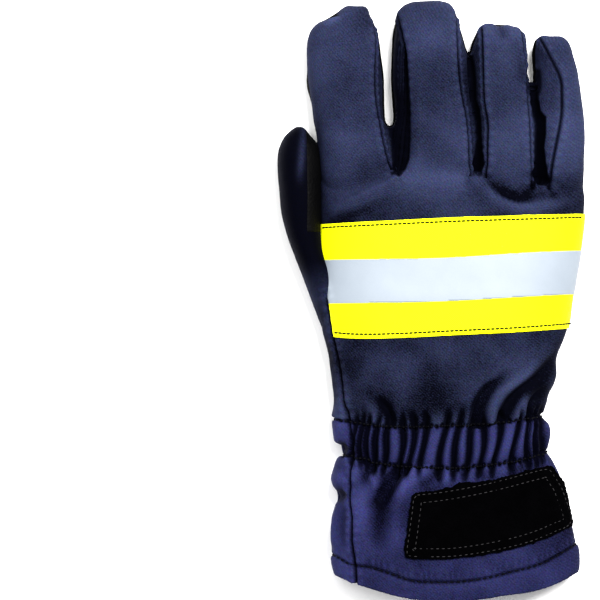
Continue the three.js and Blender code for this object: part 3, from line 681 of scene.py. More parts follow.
def pleats(points):
    """The gathers of the elastic: sharp valleys and round crests that lean a little, and how much
    painted shade darkens each place in them, with the dark of the stitch rows."""
    x, y, z = points[:, :3].T
    top_y = row_y(upper_row, x)
    low_y = row_y(lower_row, x)
    v = (top_y - y) / (top_y - low_y)
    relief = np.zeros(len(points))
    shade = np.zeros(len(points))
    band = np.where((v > -0.9) & (v < 2.0))[0]
    if len(band) == 0:
        return relief, shade
    v, x, z = v[band], x[band], z[band]
    sway = pleat_sway * np.sin(v * 3.8 + x * 0.17)
    tops = on_sheet([(across, 0) for across in pleat_tops])[:, 0]
    lows = on_sheet([(across, 0) for across in pleat_lows])[:, 0]
    upper = smooth(9, 13, z)
    at = tops + (lows - tops) * np.clip(v, -0.15, 1.15)[:, None]
    gap = x[:, None] + sway[:, None] - at
    valley = (np.array(pleat_depths) * ridge(np.clip(gap, -20, 20), pleat_width)).sum(1)
    spacing = np.abs(gap).min(1)
    crest = 1 - ridge(spacing, crest_width)
    under = 0.9 * np.cos((x + 1.4 * np.sin(x * 0.35)) * 2 * np.pi / under_pitch)
    on_back = pleat_rise * crest - pleat_drop * valley
    pattern = upper * on_back + (1 - upper) * 0.7 * (under - 0.2)
    bulge = np.where((v > 0) & (v < 1), 0.3 * np.sin(np.pi * np.clip(v, 0, 1)), 0)
    zigzag = 0.35 * np.sin(x * 2 * np.pi / row_zigzag)
    from_upper, from_lower = v * elastic_height, (v - 1) * elastic_height
    row_gap = np.minimum(np.abs(from_upper + zigzag), np.abs(from_lower + zigzag))
    ticks = 0.6 + 0.4 * np.sin(x * 2 * np.pi / row_dots)
    relief[band] = pattern * fading(v, 0.26) + bulge - row_groove * ticks * ridge(row_gap, 0.9)
    # Painted shade in the gathers' valleys; along the stitch rows the dark of the stitches.
    dark = np.clip(1.25 * ridge(spacing, 0.95), 0, 1)
    shade[band] = np.maximum(
        upper * fading(v, 0.22) * dark, np.clip(1.3 * ticks, 0, 1) * ridge(row_gap, 1.1)
    )
    return relief, shade


def painted_light_of(points):
    """Painted light and shade for how the light falls: how much lighter the cloth is painted, the
    fingers, their outer side and the cuff more than the back, the knuckles and the middle finger less."""
    x, y, _ = points[:, :3].T
    outer_side = smooth(0, 45, x) * smooth(45, 65, y)
    middle_finger = ridge(x + 8, 13) * smooth(50, 70, y)
    knuckles = 0.35 * ridge(y - 42, 9)
    fingers_lit = smooth(45, 75, y) + 0.45 * outer_side - 0.65 * middle_finger - knuckles
    cuff_side = 0.6 * smooth(-43.5, -45.5, x) * smooth(-55, -62, y)
    return fingers_lit + 0.45 * smooth(-60, -75, y) + cuff_side - 1.0


def relief_of(points):
    """For each point: how far the cloth stands out of the plain skin, from 0 to 1 how much painted
    shade at the seams, the gathers and the gaps, with the dark of the stitch rows, darkens it, and how
    far it sinks straight down."""
    x, y, z = points[:, :3].T
    upper = smooth(7, 13, z)
    calm_under_trim = 1 - 0.75 * smooth(-26, -14, y) * smooth(42, 32, y)
    result = sum(height * clouds(points, size, seed) for height, size, seed in waves)
    result *= calm_under_trim
    # Low on its outer side the index finger bulges a little.
    result += 1.5 * ridge(y - 95, 7) * smooth(10, 7, z) * smooth(-58, -61, x)
    row_top, row_low = row_y(upper_row, x), row_y(lower_row, x)
    row_share = (row_top - y) / (row_top - row_low)
    above_rows = smooth(0.12, -0.05, row_share)
    below_rows = smooth(0.88, 1.05, row_share)
    for line, rise, soft, sharp, fade in fold_lines:
        near = in_box(points, line.min(0) - 12, line.max(0) + 12, 6)
        gap, side, share = to_line(points[near], line)
        width = sharp + (soft - sharp) * (side + 1) / 2
        taper = {
            0: np.sin(np.pi * np.clip(share, 0.02, 0.98)) ** 0.7,
            1: 1 - smooth(0.35, 1, share),
            -1: smooth(0, 0.65, share),
        }[fade]
        strength = wide_gain if soft > wide_fold else narrow_gain
        if fade == -1:
            strength = strength * above_rows[near]
        elif fade == 1 and line[0, 1] < cuff_start:
            strength = strength * below_rows[near]
        result[near] += strength * upper[near] * rise * taper * ridge(gap, width)
    gathered, gather_shade = pleats(points)
    result += gathered
    hem_gap = y - row_y(hem_row, x)
    hem_ticks = 0.35 + 0.35 * np.sin(x * 2 * np.pi / hem_dots)
    # Dark dots along the hem's stitch row, and the painted shade of the gathers.
    shade_and_stitch_dark = np.maximum(hem_ticks * ridge(hem_gap, 0.8), gather_shade)
    result += -hem_groove * ridge(hem_gap, 0.8) + 0.35 * smooth(0.5, -1.5, hem_gap)
    result += 0.25 * ridge(hem_gap - 2.5, 1.6) * np.sin(x * 2.1 + 1.5 * np.sin(x * 0.6))
    palm_gap = np.abs(z - palm_seam)
    result += -palm_groove * ridge(palm_gap, seam_width) + 0.25 * ridge(palm_gap - 2.4, 1.5)
    # Painted shade in the groove of the palm seam.
    shade_and_stitch_dark = np.maximum(shade_and_stitch_dark, ridge(palm_gap, seam_width))
    near = np.where(z > palm_seam - 1)[0]
    found = [seam_tree.find(p) for p in points[near, :3]]
    gap = np.array([f[2] for f in found])
    reach = seam_reach[[f[1] for f in found]]
    pucker = np.sin(reach * 2 * np.pi / pucker_pitch + 1.3 * np.sin(reach * 0.23))
    puff = seam_puff * ridge(gap - 2.2, 1.5) * (1 + 0.55 * pucker)
    result[near] += puff - seam_groove * ridge(gap, seam_width)
    # Painted shade in the grooves of the back's seams.
    shade_and_stitch_dark[near] = np.maximum(shade_and_stitch_dark[near], 0.85 * ridge(gap, 0.6))
    for outline in strip_outlines.values():
        near = in_box(points, outline.min(0), outline.max(0), palm_seam)
        result[near] -= strip_sink * smooth(0.3, 2.2, inside(points[near], outline))
    sunk = np.zeros(len(points))
    # Painted shade, where shadow falls between the fingers and on the middle finger's left side.
    for line, turned, drop, soft, dark in finger_gaps:
        outline = on_sheet(line)
        near = in_box(points, outline.min(0) - 3, outline.max(0) + 3, palm_seam)
        depth = smooth(-soft, 0.5 * soft, inside(points[near], outline))
        result[near] -= turned * depth
        sunk[near] += drop * depth
        shade_and_stitch_dark[near] = np.maximum(shade_and_stitch_dark[near], dark * depth)
    return result, shade_and_stitch_dark, sunk


# Panels. Each is cut from the skin along its seams, as cloth and leather are cut for a glove, and
# gets a wall 2 mm thick with its folds on the outside. A cut keeps what is above 0 by its rule.
# The outer faces are kept too, because the stitches are laid on them.
outer = []
wall_thickness = 2.0
on_the_cut = 0.12
lowest, lowest_fold = 0.02, 0.05
sharp_bend = 0.06
darkest_crease, lightest_crest = -1.3, 1.5


def clip(skin, values):
    """The part of a skin where values are above 0, cut cleanly along 0."""
    points, faces = skin
    values = np.where(np.abs(values) < on_the_cut, 0.0, values)
    keep = values >= 0
    count = keep[faces].sum(1)
    whole = faces[count == 3]
    parts = [whole]
    added = [points]
    base = len(points)
    for number in (1, 2):
        crossed = faces[count == number]
        if len(crossed) == 0:
            continue
        odd = keep[crossed] if number == 1 else ~keep[crossed]
        first = odd.argmax(1)
        row = np.arange(len(crossed))
        a, b, c = (crossed[row, (first + k) % 3] for k in range(3))
        for other in (b, c):
            t = (values[a] / (values[a] - values[other]))[:, None]
            added.append(points[a] + t * (points[other] - points[a]))
        ab = base + row
        ac = base + len(crossed) + row
        base += 2 * len(crossed)
        if number == 1:
            parts.append(np.column_stack((a, ab, ac)))
        else:
            parts.append(np.column_stack((ab, b, c)))
            parts.append(np.column_stack((ab, c, ac)))
    return tidy(np.vstack(added), np.vstack(parts))


def tidy(points, faces):
    """Merges points that coincide and drops what nothing uses."""
    used = np.unique(faces)
    _, first, same = np.unique(
        np.round(points[used, :3], 4), axis=0, return_index=True, return_inverse=True
    )
    number = np.zeros(len(points), int)
    number[used] = same.ravel()
    faces = number[faces]
    whole = (
        (faces[:, 0] != faces[:, 1]) & (faces[:, 1] != faces[:, 2]) & (faces[:, 2] != faces[:, 0])
    )
    return points[used][first], faces[whole]


def largest(points, faces):
    """The largest connected part of a skin."""
    label = np.arange(len(points))
    while True:
        low = np.minimum.reduce([label[faces[:, k]] for k in range(3)])
        new = label.copy()
        for k in range(3):
            np.minimum.at(new, faces[:, k], low)
        new = new[new]
        if (new == label).all():
            break
        label = new
    of_face = label[faces[:, 0]]
    names, counts = np.unique(of_face, return_counts=True)
    return tidy(points, faces[of_face == names[counts.argmax()]])


def refined(points, faces, wanted):
    """The same skin with each edge halved where both of its ends are wanted."""
    edges = np.sort(np.vstack((faces[:, [0, 1]], faces[:, [1, 2]], faces[:, [2, 0]])), axis=1)
    unique, number = np.unique(edges, axis=0, return_inverse=True)
    mark = wanted[unique].all(1)
    middle = np.full(len(unique), -1)
    middle[mark] = len(points) + np.arange(mark.sum())
    points = np.vstack((points, (points[unique[mark, 0]] + points[unique[mark, 1]]) / 2))
    mid = middle[number.ravel().reshape(3, -1).T]
    marked = mid >= 0
    count = marked.sum(1)
    parts = [faces[count == 0]]
    a, b, c = faces[count == 3].T
    ab, bc, ca = mid[count == 3].T
    parts += [np.column_stack(t) for t in ((a, ab, ca), (ab, b, bc), (ca, bc, c), (ab, bc, ca))]
    for number_marked in (1, 2):
        some, some_mid = faces[count == number_marked], mid[count == number_marked]
        row = np.arange(len(some))
        if number_marked == 1:
            first = marked[count == 1].argmax(1)
        else:
            first = (marked[count == 2].argmin(1) + 1) % 3
        a, b, c = (some[row, (first + k) % 3] for k in range(3))
        ab, bc = some_mid[row, first], some_mid[row, (first + 1) % 3]
        if number_marked == 1:
            parts += [np.column_stack((a, ab, c)), np.column_stack((ab, b, c))]
        else:
            parts += [np.column_stack(t) for t in ((ab, b, bc), (a, ab, bc), (a, bc, c))]
    return points, np.vstack(parts)


def where_sharp(faces, relief, least):
    """Points at which the relief bends sharply, and their neighbours."""
    pairs = np.vstack((faces[:, [0, 1]], faces[:, [1, 2]], faces[:, [2, 0]]))
    a, b = pairs.T
    near = np.bincount(a, minlength=len(relief)) + np.bincount(b, minlength=len(relief))
    total = np.bincount(a, relief[b], len(relief)) + np.bincount(b, relief[a], len(relief))
    sharp = np.abs(total / np.maximum(near, 1) - relief) > least
    touched = np.bincount(a, sharp[b], len(relief)) + np.bincount(b, sharp[a], len(relief))
    return sharp | (touched > 0)


def eased(made, most):
    """Fewer triangles where the surface is plain, so that no more than most are left."""
    faces = len(made.data.polygons)
    if faces > most:
        fewer = made.modifiers.new("fewer", "DECIMATE")
        fewer.ratio = most / faces
        bpy.ops.object.modifier_apply(modifier=fewer.name)


def above_table(mesh):
    """Nothing of a piece dips under the table it lies on."""
    found = np.empty(len(mesh.vertices) * 3)
    mesh.vertices.foreach_get("co", found)
    found[2::3] = np.maximum(found[2::3], lowest * MM)
    mesh.vertices.foreach_set("co", found)


def walled(made, thickness):
    """Gives a skin its thickness, inwards."""
    wall = made.modifiers.new("wall", "SOLIDIFY")
    wall.thickness = thickness * MM
    wall.offset = -1
    bpy.ops.object.modifier_apply(modifier=wall.name)


def finished(made, material):
    made.data.materials.append(material)
    made.data.shade_smooth()
    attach(made, "root")


def panel(name, node, skin, material, most=95000, shaded=None):
    """A wall of cloth or leather from a cut skin, with its relief, as a finished piece."""
    points, faces = skin
    relief, _, _ = relief_of(points)
    points, faces = refined(points, faces, where_sharp(faces, relief, sharp_bend))
    relief, shade_and_stitch_dark, sunk = relief_of(points)
    if shaded is not None:
        shade_and_stitch_dark = np.maximum(shade_and_stitch_dark, shaded(points))
    moved = points[:, :3] + points[:, 3:6] * relief[:, None]
    moved[:, 2] = np.maximum(moved[:, 2] - sunk, lowest_fold)
    made = new_object(name, moved * MM, faces.tolist())
    # Creases of the relief get painted shade and its crests painted light, with painted light and
    # shade for how the light falls on each part.
    relief_shade_and_light = np.clip(relief, darkest_crease, lightest_crest) + painted_light_of(points)
    for label, values in (("shade_and_light", relief_shade_and_light), ("seam", shade_and_stitch_dark)):
        made.data.attributes.new(label, "FLOAT", "POINT").data.foreach_set("value", values)
    eased(made, most)
    walled(made, wall_thickness)
    above_table(made.data)
    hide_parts(node)
    finished(made, material)
    outer.append((moved, faces))
    return made


# Materials. Cloth, gathers and thumb are one navy twill; the palm and the thumb's pad are black
# grain leather. Creases get painted shade and crests painted light.
def new_material(name, roughness, specular):
    """A material with its tree, its shader and the place on the glove that its pattern reads."""
    made = bpy.data.materials.new(name)
    made.use_nodes = True
    shader = made.node_tree.nodes["Principled BSDF"]
    shader.inputs["Roughness"].default_value = roughness
    shader.inputs["Specular IOR Level"].default_value = specular
    place = made.node_tree.nodes.new("ShaderNodeTexCoord").outputs["Object"]
    return made, made.node_tree, shader, place


def math_node(tree, operation, *values):
    made = tree.nodes.new("ShaderNodeMath")
    made.operation = operation
    for socket, value in zip(made.inputs, values):
        if isinstance(value, (int, float)):
            socket.default_value = value
        else:
            tree.links.new(value, socket)
    return made.outputs[0]


def blend_colour(tree, share, first, second, kind="MIX"):
    made = tree.nodes.new("ShaderNodeMix")
    made.data_type = "RGBA"
    made.blend_type = kind
    for socket, value in zip((made.inputs[0], made.inputs[6], made.inputs[7]), (share, first, second)):
        if isinstance(value, bpy.types.NodeSocket):
            tree.links.new(value, socket)
        else:
            socket.default_value = value
    return made.outputs[2]


def noise_of(tree, place, scale, detail=3.0, output="Fac"):
    made = tree.nodes.new("ShaderNodeTexNoise")
    made.inputs["Scale"].default_value = scale
    made.inputs["Detail"].default_value = detail
    tree.links.new(place, made.inputs["Vector"])
    return made.outputs[output]


def cells_of(tree, place, scale):
    made = tree.nodes.new("ShaderNodeTexVoronoi")
    made.inputs["Scale"].default_value = scale
    tree.links.new(place, made.inputs["Vector"])
    return made.outputs["Distance"]


def bumped(tree, shader, height, strength, distance):
    bump = tree.nodes.new("ShaderNodeBump")
    bump.inputs["Strength"].default_value = strength
    bump.inputs["Distance"].default_value = distance
    tree.links.new(height, bump.inputs["Height"])
    tree.links.new(bump.outputs["Normal"], shader.inputs["Normal"])


def new_group(name, inputs, outputs):
    group = bpy.data.node_groups.new(name, "ShaderNodeTree")
    for label, kind, value in inputs:
        socket = group.interface.new_socket(label, in_out="INPUT", socket_type=kind)
        socket.default_value = value
    for label, kind in outputs:
        group.interface.new_socket(label, in_out="OUTPUT", socket_type=kind)
    return group, group.nodes.new("NodeGroupInput").outputs, group.nodes.new("NodeGroupOutput").inputs


def ribs(tree, place, direction, pitch, push):
    """Even ribs across one direction, from -1 to 1."""
    dot = tree.nodes.new("ShaderNodeVectorMath")
    dot.operation = "DOT_PRODUCT"
    dot.inputs[1].default_value = direction
    tree.links.new(place, dot.inputs[0])
    turns = math_node(tree, "DIVIDE", dot.outputs["Value"], pitch)
    turns = math_node(tree, "ADD", turns, push)
    return math_node(tree, "SINE", math_node(tree, "MULTIPLY", turns, 2 * math.pi))


twill, twill_in, twill_out = new_group(
    "twill_weave",
    [
        ("Dark", "NodeSocketColor", (0.02, 0.021, 0.06, 1)),
        ("Light", "NodeSocketColor", (0.06, 0.062, 0.17, 1)),
        ("Shade_and_light", "NodeSocketFloat", 0.0),
        ("Seam", "NodeSocketFloat", 0.0),
        ("Pitch", "NodeSocketFloat", 0.0011),
        ("Contrast", "NodeSocketFloat", 0.3),
    ],
    [("Color", "NodeSocketColor"), ("Height", "NodeSocketFloat")],
)
place = twill.nodes.new("ShaderNodeTexCoord").outputs["Object"]
weave_noise, stain_noise, fibre_noise, dye_noise = 900, 60, 1700, 1100
weave_share, fleck_share, stain_share, crease_share = 0.22, 3.2, 0.5, 0.22
middle_tone = 0.44
unevenness = noise_of(twill, place, weave_noise, 2)
stain = noise_of(twill, place, stain_noise, 3)
push = math_node(twill, "MULTIPLY", math_node(twill, "SUBTRACT", unevenness, 0.5), 0.55)
wale = ribs(twill, place, (0.72, 0.69, 0.4), twill_in["Pitch"], push)
pick_pitch = math_node(twill, "MULTIPLY", twill_in["Pitch"], 0.62)
pick = ribs(twill, place, (0.15, -0.98, 0.6), pick_pitch, push)
fibre = noise_of(twill, place, fibre_noise, 3)
pick = math_node(twill, "MULTIPLY", pick, weave_share)
weave = math_node(twill, "MULTIPLY_ADD", wale, weave_share, pick)
fleck = math_node(twill, "MULTIPLY", math_node(twill, "SUBTRACT", fibre, 0.5), fleck_share)
weave = math_node(twill, "ADD", weave, fleck)
tone = math_node(twill, "MULTIPLY_ADD", weave, twill_in["Contrast"], middle_tone)
patchy = math_node(twill, "MULTIPLY", math_node(twill, "SUBTRACT", stain, 0.5), stain_share)
tone = math_node(twill, "ADD", tone, patchy)
# Painted shade in creases and painted light on crests and lit parts, then painted shade at seams,
# gaps, gathers and the thumb, with the dark of the stitch rows.
tone = math_node(twill, "MULTIPLY_ADD", twill_in["Shade_and_light"], crease_share, tone)
tone = math_node(twill, "MULTIPLY", tone, math_node(twill, "SUBTRACT", 1.0, twill_in["Seam"]))
tone_limited = twill.nodes.new("ShaderNodeClamp")
twill.links.new(tone, tone_limited.inputs[0])
base = blend_colour(twill, tone_limited.outputs[0], twill_in["Dark"], twill_in["Light"])
dye = noise_of(twill, place, dye_noise, 2, "Color")
twill.links.new(blend_colour(twill, 0.5, base, dye, "OVERLAY"), twill_out["Color"])
twill.links.new(math_node(twill, "MULTIPLY_ADD", weave, 0.5, 0.5), twill_out["Height"])


def twill_material(name, dark, light, contrast):
    made, tree, shader, _ = new_material(name, roughness=0.82, specular=0.03)
    cloth = tree.nodes.new("ShaderNodeGroup")
    cloth.node_tree = twill
    cloth.inputs["Dark"].default_value = dark
    cloth.inputs["Light"].default_value = light
    cloth.inputs["Contrast"].default_value = contrast
    for label in ("Shade_and_light", "Seam"):
        kept = tree.nodes.new("ShaderNodeAttribute")
        kept.attribute_name = label.lower()
        tree.links.new(kept.outputs["Fac"], cloth.inputs[label])
    tree.links.new(cloth.outputs["Color"], shader.inputs["Base Color"])
    bumped(tree, shader, cloth.outputs["Height"], 0.35, 0.0002)
    shader.inputs["Sheen Weight"].default_value = 0.015
    shader.inputs["Sheen Roughness"].default_value = 0.4
    shader.inputs["Sheen Tint"].default_value = (0.45, 0.5, 1, 1)
    return made


navy = twill_material("navy_twill", (0.0006, 0.0007, 0.003, 1), (0.037, 0.045, 0.097, 1), 0.22)
cuff_navy = twill_material(
    "cuff_twill", (0.0006, 0.0006, 0.0036, 1), (0.0355, 0.0385, 0.12, 1), 0.18
)

leather, tree, shader, place = new_material("black_leather", roughness=0.5, specular=0.05)
grain = math_node(tree, "ADD", cells_of(tree, place, 750), noise_of(tree, place, 260, 4))
patina = noise_of(tree, place, 45, 4)
black = blend_colour(tree, patina, (0.0008, 0.0008, 0.001, 1), (0.0035, 0.0035, 0.0038, 1))
tree.links.new(black, shader.inputs["Base Color"])
tree.links.new(math_node(tree, "MULTIPLY_ADD", patina, 0.3, 0.45), shader.inputs["Roughness"])
bumped(tree, shader, grain, 0.45, 0.0004)

# Panels of the hand: cloth back, leather palm, three strips between the fingers and the narrow
# cloth side under the thumb, sewn together inside out.
def beside(points, line):
    """Distance to a line in plan, above 0 on its left."""
    gap, side, _ = to_line(points, line)
    return np.where(side >= 0, gap, -gap)


def side_of_seam(points):
    return beside(points, side_seam)


far_outside = 50.0


def depth_in(tree, points, near):
    """How far outside a closed skin each point lies. Points that aren't near are far outside."""
    found = np.full(len(points), far_outside)
    for i in np.where(near)[0]:
        place, normal, _, _ = tree.find_nearest(Vector(points[i, :3]))
        found[i] = (Vector(points[i, :3]) - place).dot(normal)
    return found


def cut(skin, *rules):
    for rule in rules:
        skin = clip(skin, rule(skin[0]))
    return skin


side_top = 5.0
thumb_tree = BVHTree.FromPolygons(thumb_points[:, :3].tolist(), thumb_faces.tolist())
hand_skin = cut(
    (hand_points, hand_faces),
    lambda p: depth_in(thumb_tree, p, p[:, 0] < -45) + 1.6,
)
thumb_skin = cut(
    (thumb_points, thumb_faces),
    lambda p: depth_in(hand_tree, p, p[:, 1] < 200) + 0.8,
)
above_palm = cut(hand_skin, lambda p: p[:, 2] - palm_seam)
hand_above = cut(above_palm, lambda p: p[:, 1] - row_y(upper_row, p[:, 0]))
back_skin = cut(hand_above, lambda p: np.maximum(side_of_seam(p), p[:, 1] - side_top))
for outline in strip_outlines.values():
    back_skin = cut(back_skin, lambda p: -inside(p, outline))
back = panel("cloth_back", "back_panel", largest(*back_skin), navy)
for name, outline in strip_outlines.items():
    strip_skin = largest(*cut(hand_above, lambda p: inside(p, outline)))
    strip = panel("finger_strip_" + name, "forchette_" + name, strip_skin, navy)
side_skin = cut(hand_above, lambda p: -side_of_seam(p), lambda p: side_top - p[:, 1])
side = panel("cloth_side", "side_panel", largest(*side_skin), navy)
palm_skin = cut(
    hand_skin, lambda p: palm_seam - p[:, 2], lambda p: p[:, 1] - row_y(upper_row, p[:, 0])
)
palm = panel("leather_palm", "palm_panel", largest(*palm_skin), leather, most=58000)

# Thumb: navy cloth set into the hand's side, painted nearly black as shade, with a black leather pad
# sewn on the side that faces the index finger.
pad_edge = thumb_side + 3.9
pad_under = 7.7
pad_reach = 30.0


def on_pad(points):
    facing = np.maximum(points[:, 0] - pad_edge, pad_under - points[:, 2])
    return np.minimum(facing, points[:, 1] - pad_reach)


def thumb_shade(points):
    """Painted shade that makes the thumb nearly black, but for one ridge along it and its root."""
    x, y, _ = points[:, :3].T
    ridge_x = np.interp(y, (55, 78), (-66.4, -64.4))
    ridge = np.exp(-(((x - ridge_x) / 1.5) ** 2)) * smooth(48, 62, y)
    return smooth(2, 18, y) * (1 - 0.6 * ridge)


thumb = panel(
    "thumb_cloth", "thumb_back", largest(*cut(thumb_skin, lambda p: -on_pad(p))),
    navy, most=16000, shaded=thumb_shade,
)
pad = panel(
    "thumb_leather", "thumb_palm", largest(*cut(thumb_skin, on_pad)), leather,
    most=8000,
)

# Wrist and cuff: the same twill, gathered by an elastic that two rows of stitches hold, and below
# it a cuff that flares to a turned hem. Each is sewn from a back and a palm side.
wrist_zone = cut(
    hand_skin,
    lambda p: row_y(upper_row, p[:, 0]) - p[:, 1],
    lambda p: p[:, 1] - row_y(lower_row, p[:, 0]),
)
cuff_zone = cut(
    hand_skin,
    lambda p: row_y(lower_row, p[:, 0]) - p[:, 1],
    lambda p: p[:, 1] - row_y(hem_edge, p[:, 0]),
)
for zone, name, node, slot, held, back_cut, palm_cut in (
    (
        wrist_zone, "gathered_wrist", "elastic", "gathered_cloth", "gathered",
        (170, 26, 4400), (150, 26, 3800),
    ),
    (cuff_zone, "flared_cuff", "cuff", "cloth", "laid", (128, 62, 7700), (136, 62, 8200)),
):
    upper = cut(zone, lambda p: p[:, 2] - palm_seam, side_of_seam)
    under = cut(zone, lambda p: np.maximum(palm_seam - p[:, 2], -side_of_seam(p)))
    made = panel(name + "_back", node + "_back", largest(*upper), cuff_navy, most=40000)
    made = panel(name + "_palm", node + "_palm", largest(*under), cuff_navy, most=24000)

# Reflective trim: a fluorescent yellow tape across the back with a silver band on its middle,
# sewn down along both long edges.
def overlay(name, node, skin, lift, thickness, material, rough=0.0):
    """A flat trim on the cloth: it follows the relief under it, and may have a rough face."""
    points, faces = skin
    relief, _, _ = relief_of(points)
    if rough:
        relief = relief + rough * np.array([noise.noise(Vector(p) / 0.9) for p in points[:, :3]])
        relief += 0.5 * rough * np.array([noise.noise(Vector(p) / 2.7) for p in points[:, :3]])
    moved = points[:, :3] + points[:, 3:6] * (relief + lift)[:, None]
    made = new_object(name, moved * MM, faces.tolist())
    walled(made, thickness)
    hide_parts(node)
    finished(made, material)
    outer.append((moved, faces))
    return made


tape_thread_pitch = 0.0009
yellow, tree, shader, place = new_material("fluorescent_tape", roughness=0.6, specular=0.08)
warp = ribs(tree, place, (1, 0.03, 0), tape_thread_pitch, 0.0)
weft = ribs(tree, place, (-0.03, 1, 0), tape_thread_pitch, 0.0)
weave = math_node(tree, "MULTIPLY", warp, weft)
soiled = math_node(tree, "MULTIPLY_ADD", weave, 0.12, noise_of(tree, place, 70, 4))
lemon = blend_colour(tree, soiled, (0.72, 0.78, 0.003, 1), (0.86, 0.88, 0.005, 1))
tree.links.new(lemon, shader.inputs["Base Color"])
bumped(tree, shader, weave, 0.25, 0.0002)
# The emission is a painted glow that stands in for the tape's fluorescence.
shader.inputs["Emission Color"].default_value = (0.9, 1, 0.0, 1)
shader.inputs["Emission Strength"].default_value = 0.12

silver, tree, shader, place = new_material("glass_bead_silver", roughness=0.6, specular=0.5)
beads = cells_of(tree, place, 2600)
rubbed = math_node(tree, "MULTIPLY_ADD", beads, 0.4, noise_of(tree, place, 90, 5))
pale = blend_colour(tree, rubbed, (0.225, 0.256, 0.292, 1), (0.195, 0.223, 0.256, 1))
tree.links.new(pale, shader.inputs["Base Color"])
bumped(tree, shader, beads, 0.15, 0.0001)
shader.inputs["Metallic"].default_value = 0.05

tape_top = on_sheet([
    (310, 225.1), (321, 224.5), (385, 221.5), (450, 218.5), (520, 216.2), (584, 214), (605, 213.3),
])
tape_low = on_sheet([
    (310, 336), (333, 336.5), (345, 337.7), (370, 338.3), (400, 337.5), (450, 335),
    (520, 331.5), (567, 328), (605, 325),
])
tape_end = on_sheet([
    (320.5, 200), (321, 224.5), (321, 240), (323, 260.5), (325, 280), (328.5, 302),
    (332.5, 333), (334, 350),
])
silver_top = on_sheet([
    (310, 260.9), (323, 260.5), (450, 258), (535, 252.5), (580, 250.5), (605, 249.6),
])
silver_low = on_sheet([
    (310, 303.8), (330, 303.5), (450, 301), (520, 297), (572, 294), (605, 292.5),
])
trim_foot = 0.7


def band(skin, top, low):
    return cut(
        skin,
        lambda p: p[:, 2] - palm_seam - trim_foot,
        lambda p: row_y(top, p[:, 0]) - p[:, 1],
        lambda p: p[:, 1] - row_y(low, p[:, 0]),
        lambda p: beside(p, tape_end),
    )


tape_skin = band(hand_skin, tape_top, tape_low)
tape = overlay(
    "yellow_tape", "trim_yellow", largest(*tape_skin), 0.75, 0.55, yellow
)
silver_skin = band(hand_skin, silver_top, silver_low)
silver_piece = overlay(
    "silver_band", "trim_silver", largest(*silver_skin), 0.98, 0.2, silver
)

# Loop patch of the wrist's hook-and-loop closing: black brushed pile, sewn down with two rows of
# stitches round its edge.
pile, tree, shader, place = new_material("loop_pile", roughness=0.95, specular=0.01)
tuft = noise_of(tree, place, 1500, 4)
linty = math_node(tree, "MULTIPLY", tuft, noise_of(tree, place, 160, 5))
soot = blend_colour(tree, linty, (0.0001, 0.0001, 0.0002, 1), (0.002, 0.0018, 0.0025, 1))
tree.links.new(soot, shader.inputs["Base Color"])
bumped(tree, shader, tuft, 0.6, 0.0006)

patch_line = on_sheet([
    (415, 491), (411, 495), (409, 508), (406, 530), (403.5, 551), (405, 555), (410, 556.5),
    (430, 557), (450, 556.5), (475, 553.5), (500, 549), (530, 541.5), (555, 532), (570, 525),
    (573, 519), (571, 509), (566, 496), (562, 485), (554, 473), (550, 467), (545, 466),
    (530, 469), (500, 476.5), (480, 481), (458, 482), (450, 486), (430, 489.5),
])
fuzz = 0.35
patch_foot = 20.0
patch_skin = cut(
    cuff_zone,
    lambda p: p[:, 2] - patch_foot,
    lambda p: inside(p, patch_line) + fuzz * clouds(p, 1.1, 7) + fuzz * clouds(p, 3.0, 8),
)
patch_points, patch_faces = largest(*patch_skin)
patch_skin = refined(patch_points, patch_faces, np.ones(len(patch_points), bool))
patch = overlay(
    "loop_pile_patch", "loop_patch", patch_skin, 1.45, 1.1, pile, rough=0.3
)

# Stitches: short lengths of thick thread that hold the elastic, the hem, the trim and the patch.
# One model is copied along each row, onto the outside of the cloth.
surface_points, surface_faces, base = [], [], 0
for points, faces in outer:
    surface_points.append(points)
    surface_faces.append(faces + base)
    base += len(points)
surface = BVHTree.FromPolygons(
    np.vstack(surface_points).tolist(), np.vstack(surface_faces).tolist()
)
stitch_rings = np.linspace(-1, 1, 7)
stitch_turns = np.linspace(0, 2 * np.pi, 6, endpoint=False)


def stitch_model(length, width):
    """One stitch along X: a round thread that dips into the cloth at both ends."""
    rings = []
    for t in stitch_rings:
        radius = width / 2 * (1 - abs(t) ** 3) + 0.02
        lift = width * 0.25 - width * 0.9 * abs(t) ** 5
        rings.append(np.column_stack((
            np.full(len(stitch_turns), t * length / 2),
            radius * np.cos(stitch_turns),
            lift + radius * np.sin(stitch_turns),
        )))
    return run_of(rings)


def one_long(direction):
    return direction / max(np.linalg.norm(direction), 1e-6)


def sew(name, rows, pitch, length, width, material, sink=0.0):
    """Rows of stitches. Each row is points on the cloth with the cloth's normals. Some of them
    sink into the cloth, by up to twice the sink given."""
    model, model_faces = stitch_model(length, width)
    points, faces = [], []
    for places, normals in rows:
        reach = reach_of(places)
        for centre in np.arange(pitch / 2, reach[-1], pitch):
            start, end = (
                np.array([np.interp(centre + s * length / 2, reach, places[:, k]) for k in range(3)])
                for s in (-1, 1)
            )
            up = np.array([np.interp(centre, reach, normals[:, k]) for k in range(3)])
            along = one_long(end - start)
            across = one_long(np.cross(up, along))
            up = np.cross(along, across)
            drop = sink * (1 + noise.noise(Vector(places[0]) + Vector((centre / 6, 0, 0))) * 2)
            placed = (start + end) / 2 - up * drop + model @ np.array([along, across, up])
            placed[:, 2] = np.maximum(placed[:, 2], lowest)
            faces += [tuple(i + len(points) * len(model) for i in face) for face in model_faces]
            points.append(placed)
    made = new_object(name, np.vstack(points) * MM, faces)
    finished(made, material)


def row_on_top(line, step=0.5):
    """A line in plan laid onto the glove from above."""
    places, normals = [], []
    for x, y in dense(line, step):
        place, normal, _, _ = surface.ray_cast(Vector((x, y, 80)), Vector((0, 0, -1)))
        if place is not None:
            places.append(place)
            normals.append(normal)
    return np.array(places), np.array(normals)


half_wrist = 50
wrist_middle = (-4, 16)
well_outside = 90


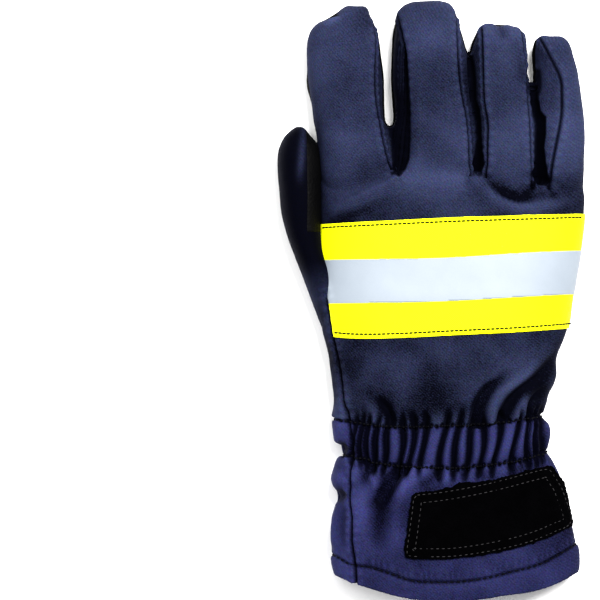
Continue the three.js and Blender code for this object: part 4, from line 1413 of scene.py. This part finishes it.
def row_around(row, count=420):
    """A row that runs right round the wrist or the cuff at the same height as on the back."""
    places, normals = [], []
    for turn in np.linspace(0, 2 * np.pi, count):
        aim = Vector((math.cos(turn), 0, math.sin(turn)))
        x = aim.x * half_wrist
        for _ in range(3):
            y = float(row_y(row, np.array([x]))[0])
            start = Vector((wrist_middle[0], y, wrist_middle[1])) + aim * well_outside
            place, normal, _, _ = surface.ray_cast(start, -aim)
            if place is None:
                break
            x = place.x
        if place is not None:
            places.append(place)
            normals.append(normal)
    return np.array(places), np.array(normals)


def thread(name, dark, light):
    made, tree, shader, place = new_material(name, roughness=0.7, specular=0.08)
    spun = blend_colour(tree, noise_of(tree, place, 900, 2), dark, light)
    tree.links.new(spun, shader.inputs["Base Color"])
    return made


dark_thread = thread("dark_thread", (0.0004, 0.0004, 0.001, 1), (0.002, 0.002, 0.004, 1))
olive_thread = thread("olive_thread", (0.006, 0.007, 0.0015, 1), (0.02, 0.02, 0.004, 1))
grey_thread = thread("grey_thread", (0.008, 0.008, 0.009, 1), (0.045, 0.043, 0.045, 1))
sew(
    "wrist_stitches", [row_around(upper_row), row_around(lower_row)], 2.4, 1.8, 1.0,
    dark_thread,
)
sew("hem_stitches", [row_around(hem_row)], 2.9, 2.2, 0.65, dark_thread)
trim_rows = []
for line, from_x, to_x, shift in ((tape_top, -56.5, 58.0, -1.55), (tape_low, -51.5, 53.5, 1.95)):
    across = np.linspace(from_x, to_x, 200)
    trim_rows.append(row_on_top(np.column_stack((across, row_y(line, across) + shift))))
sew("trim_stitches", trim_rows, 2.0, 2.3, 0.8, olive_thread)


def shrunk(outline, by):
    """A closed outline moved inwards."""
    centre = outline.mean(0)
    closed = rounded(np.vstack((outline, outline[:1])), 1.2)[:-1]
    ahead = np.roll(closed, -1, 0) - np.roll(closed, 1, 0)
    normal = np.column_stack((ahead[:, 1], -ahead[:, 0]))
    normal /= np.linalg.norm(normal, axis=1)[:, None]
    inward = np.sign(((centre - closed) * normal).sum())
    moved = closed + normal * by * inward
    return np.vstack((moved, moved[:1]))


# The stitches run past the notch in the patch's upper edge, so its two points are left out.
patch_even = np.delete(patch_line, (24, 25), axis=0)
sew(
    "patch_stitches", [row_on_top(shrunk(patch_even, 1.1)), row_on_top(shrunk(patch_even, 4.6))],
    2.5, 1.7, 0.36, grey_thread, sink=0.1,
)
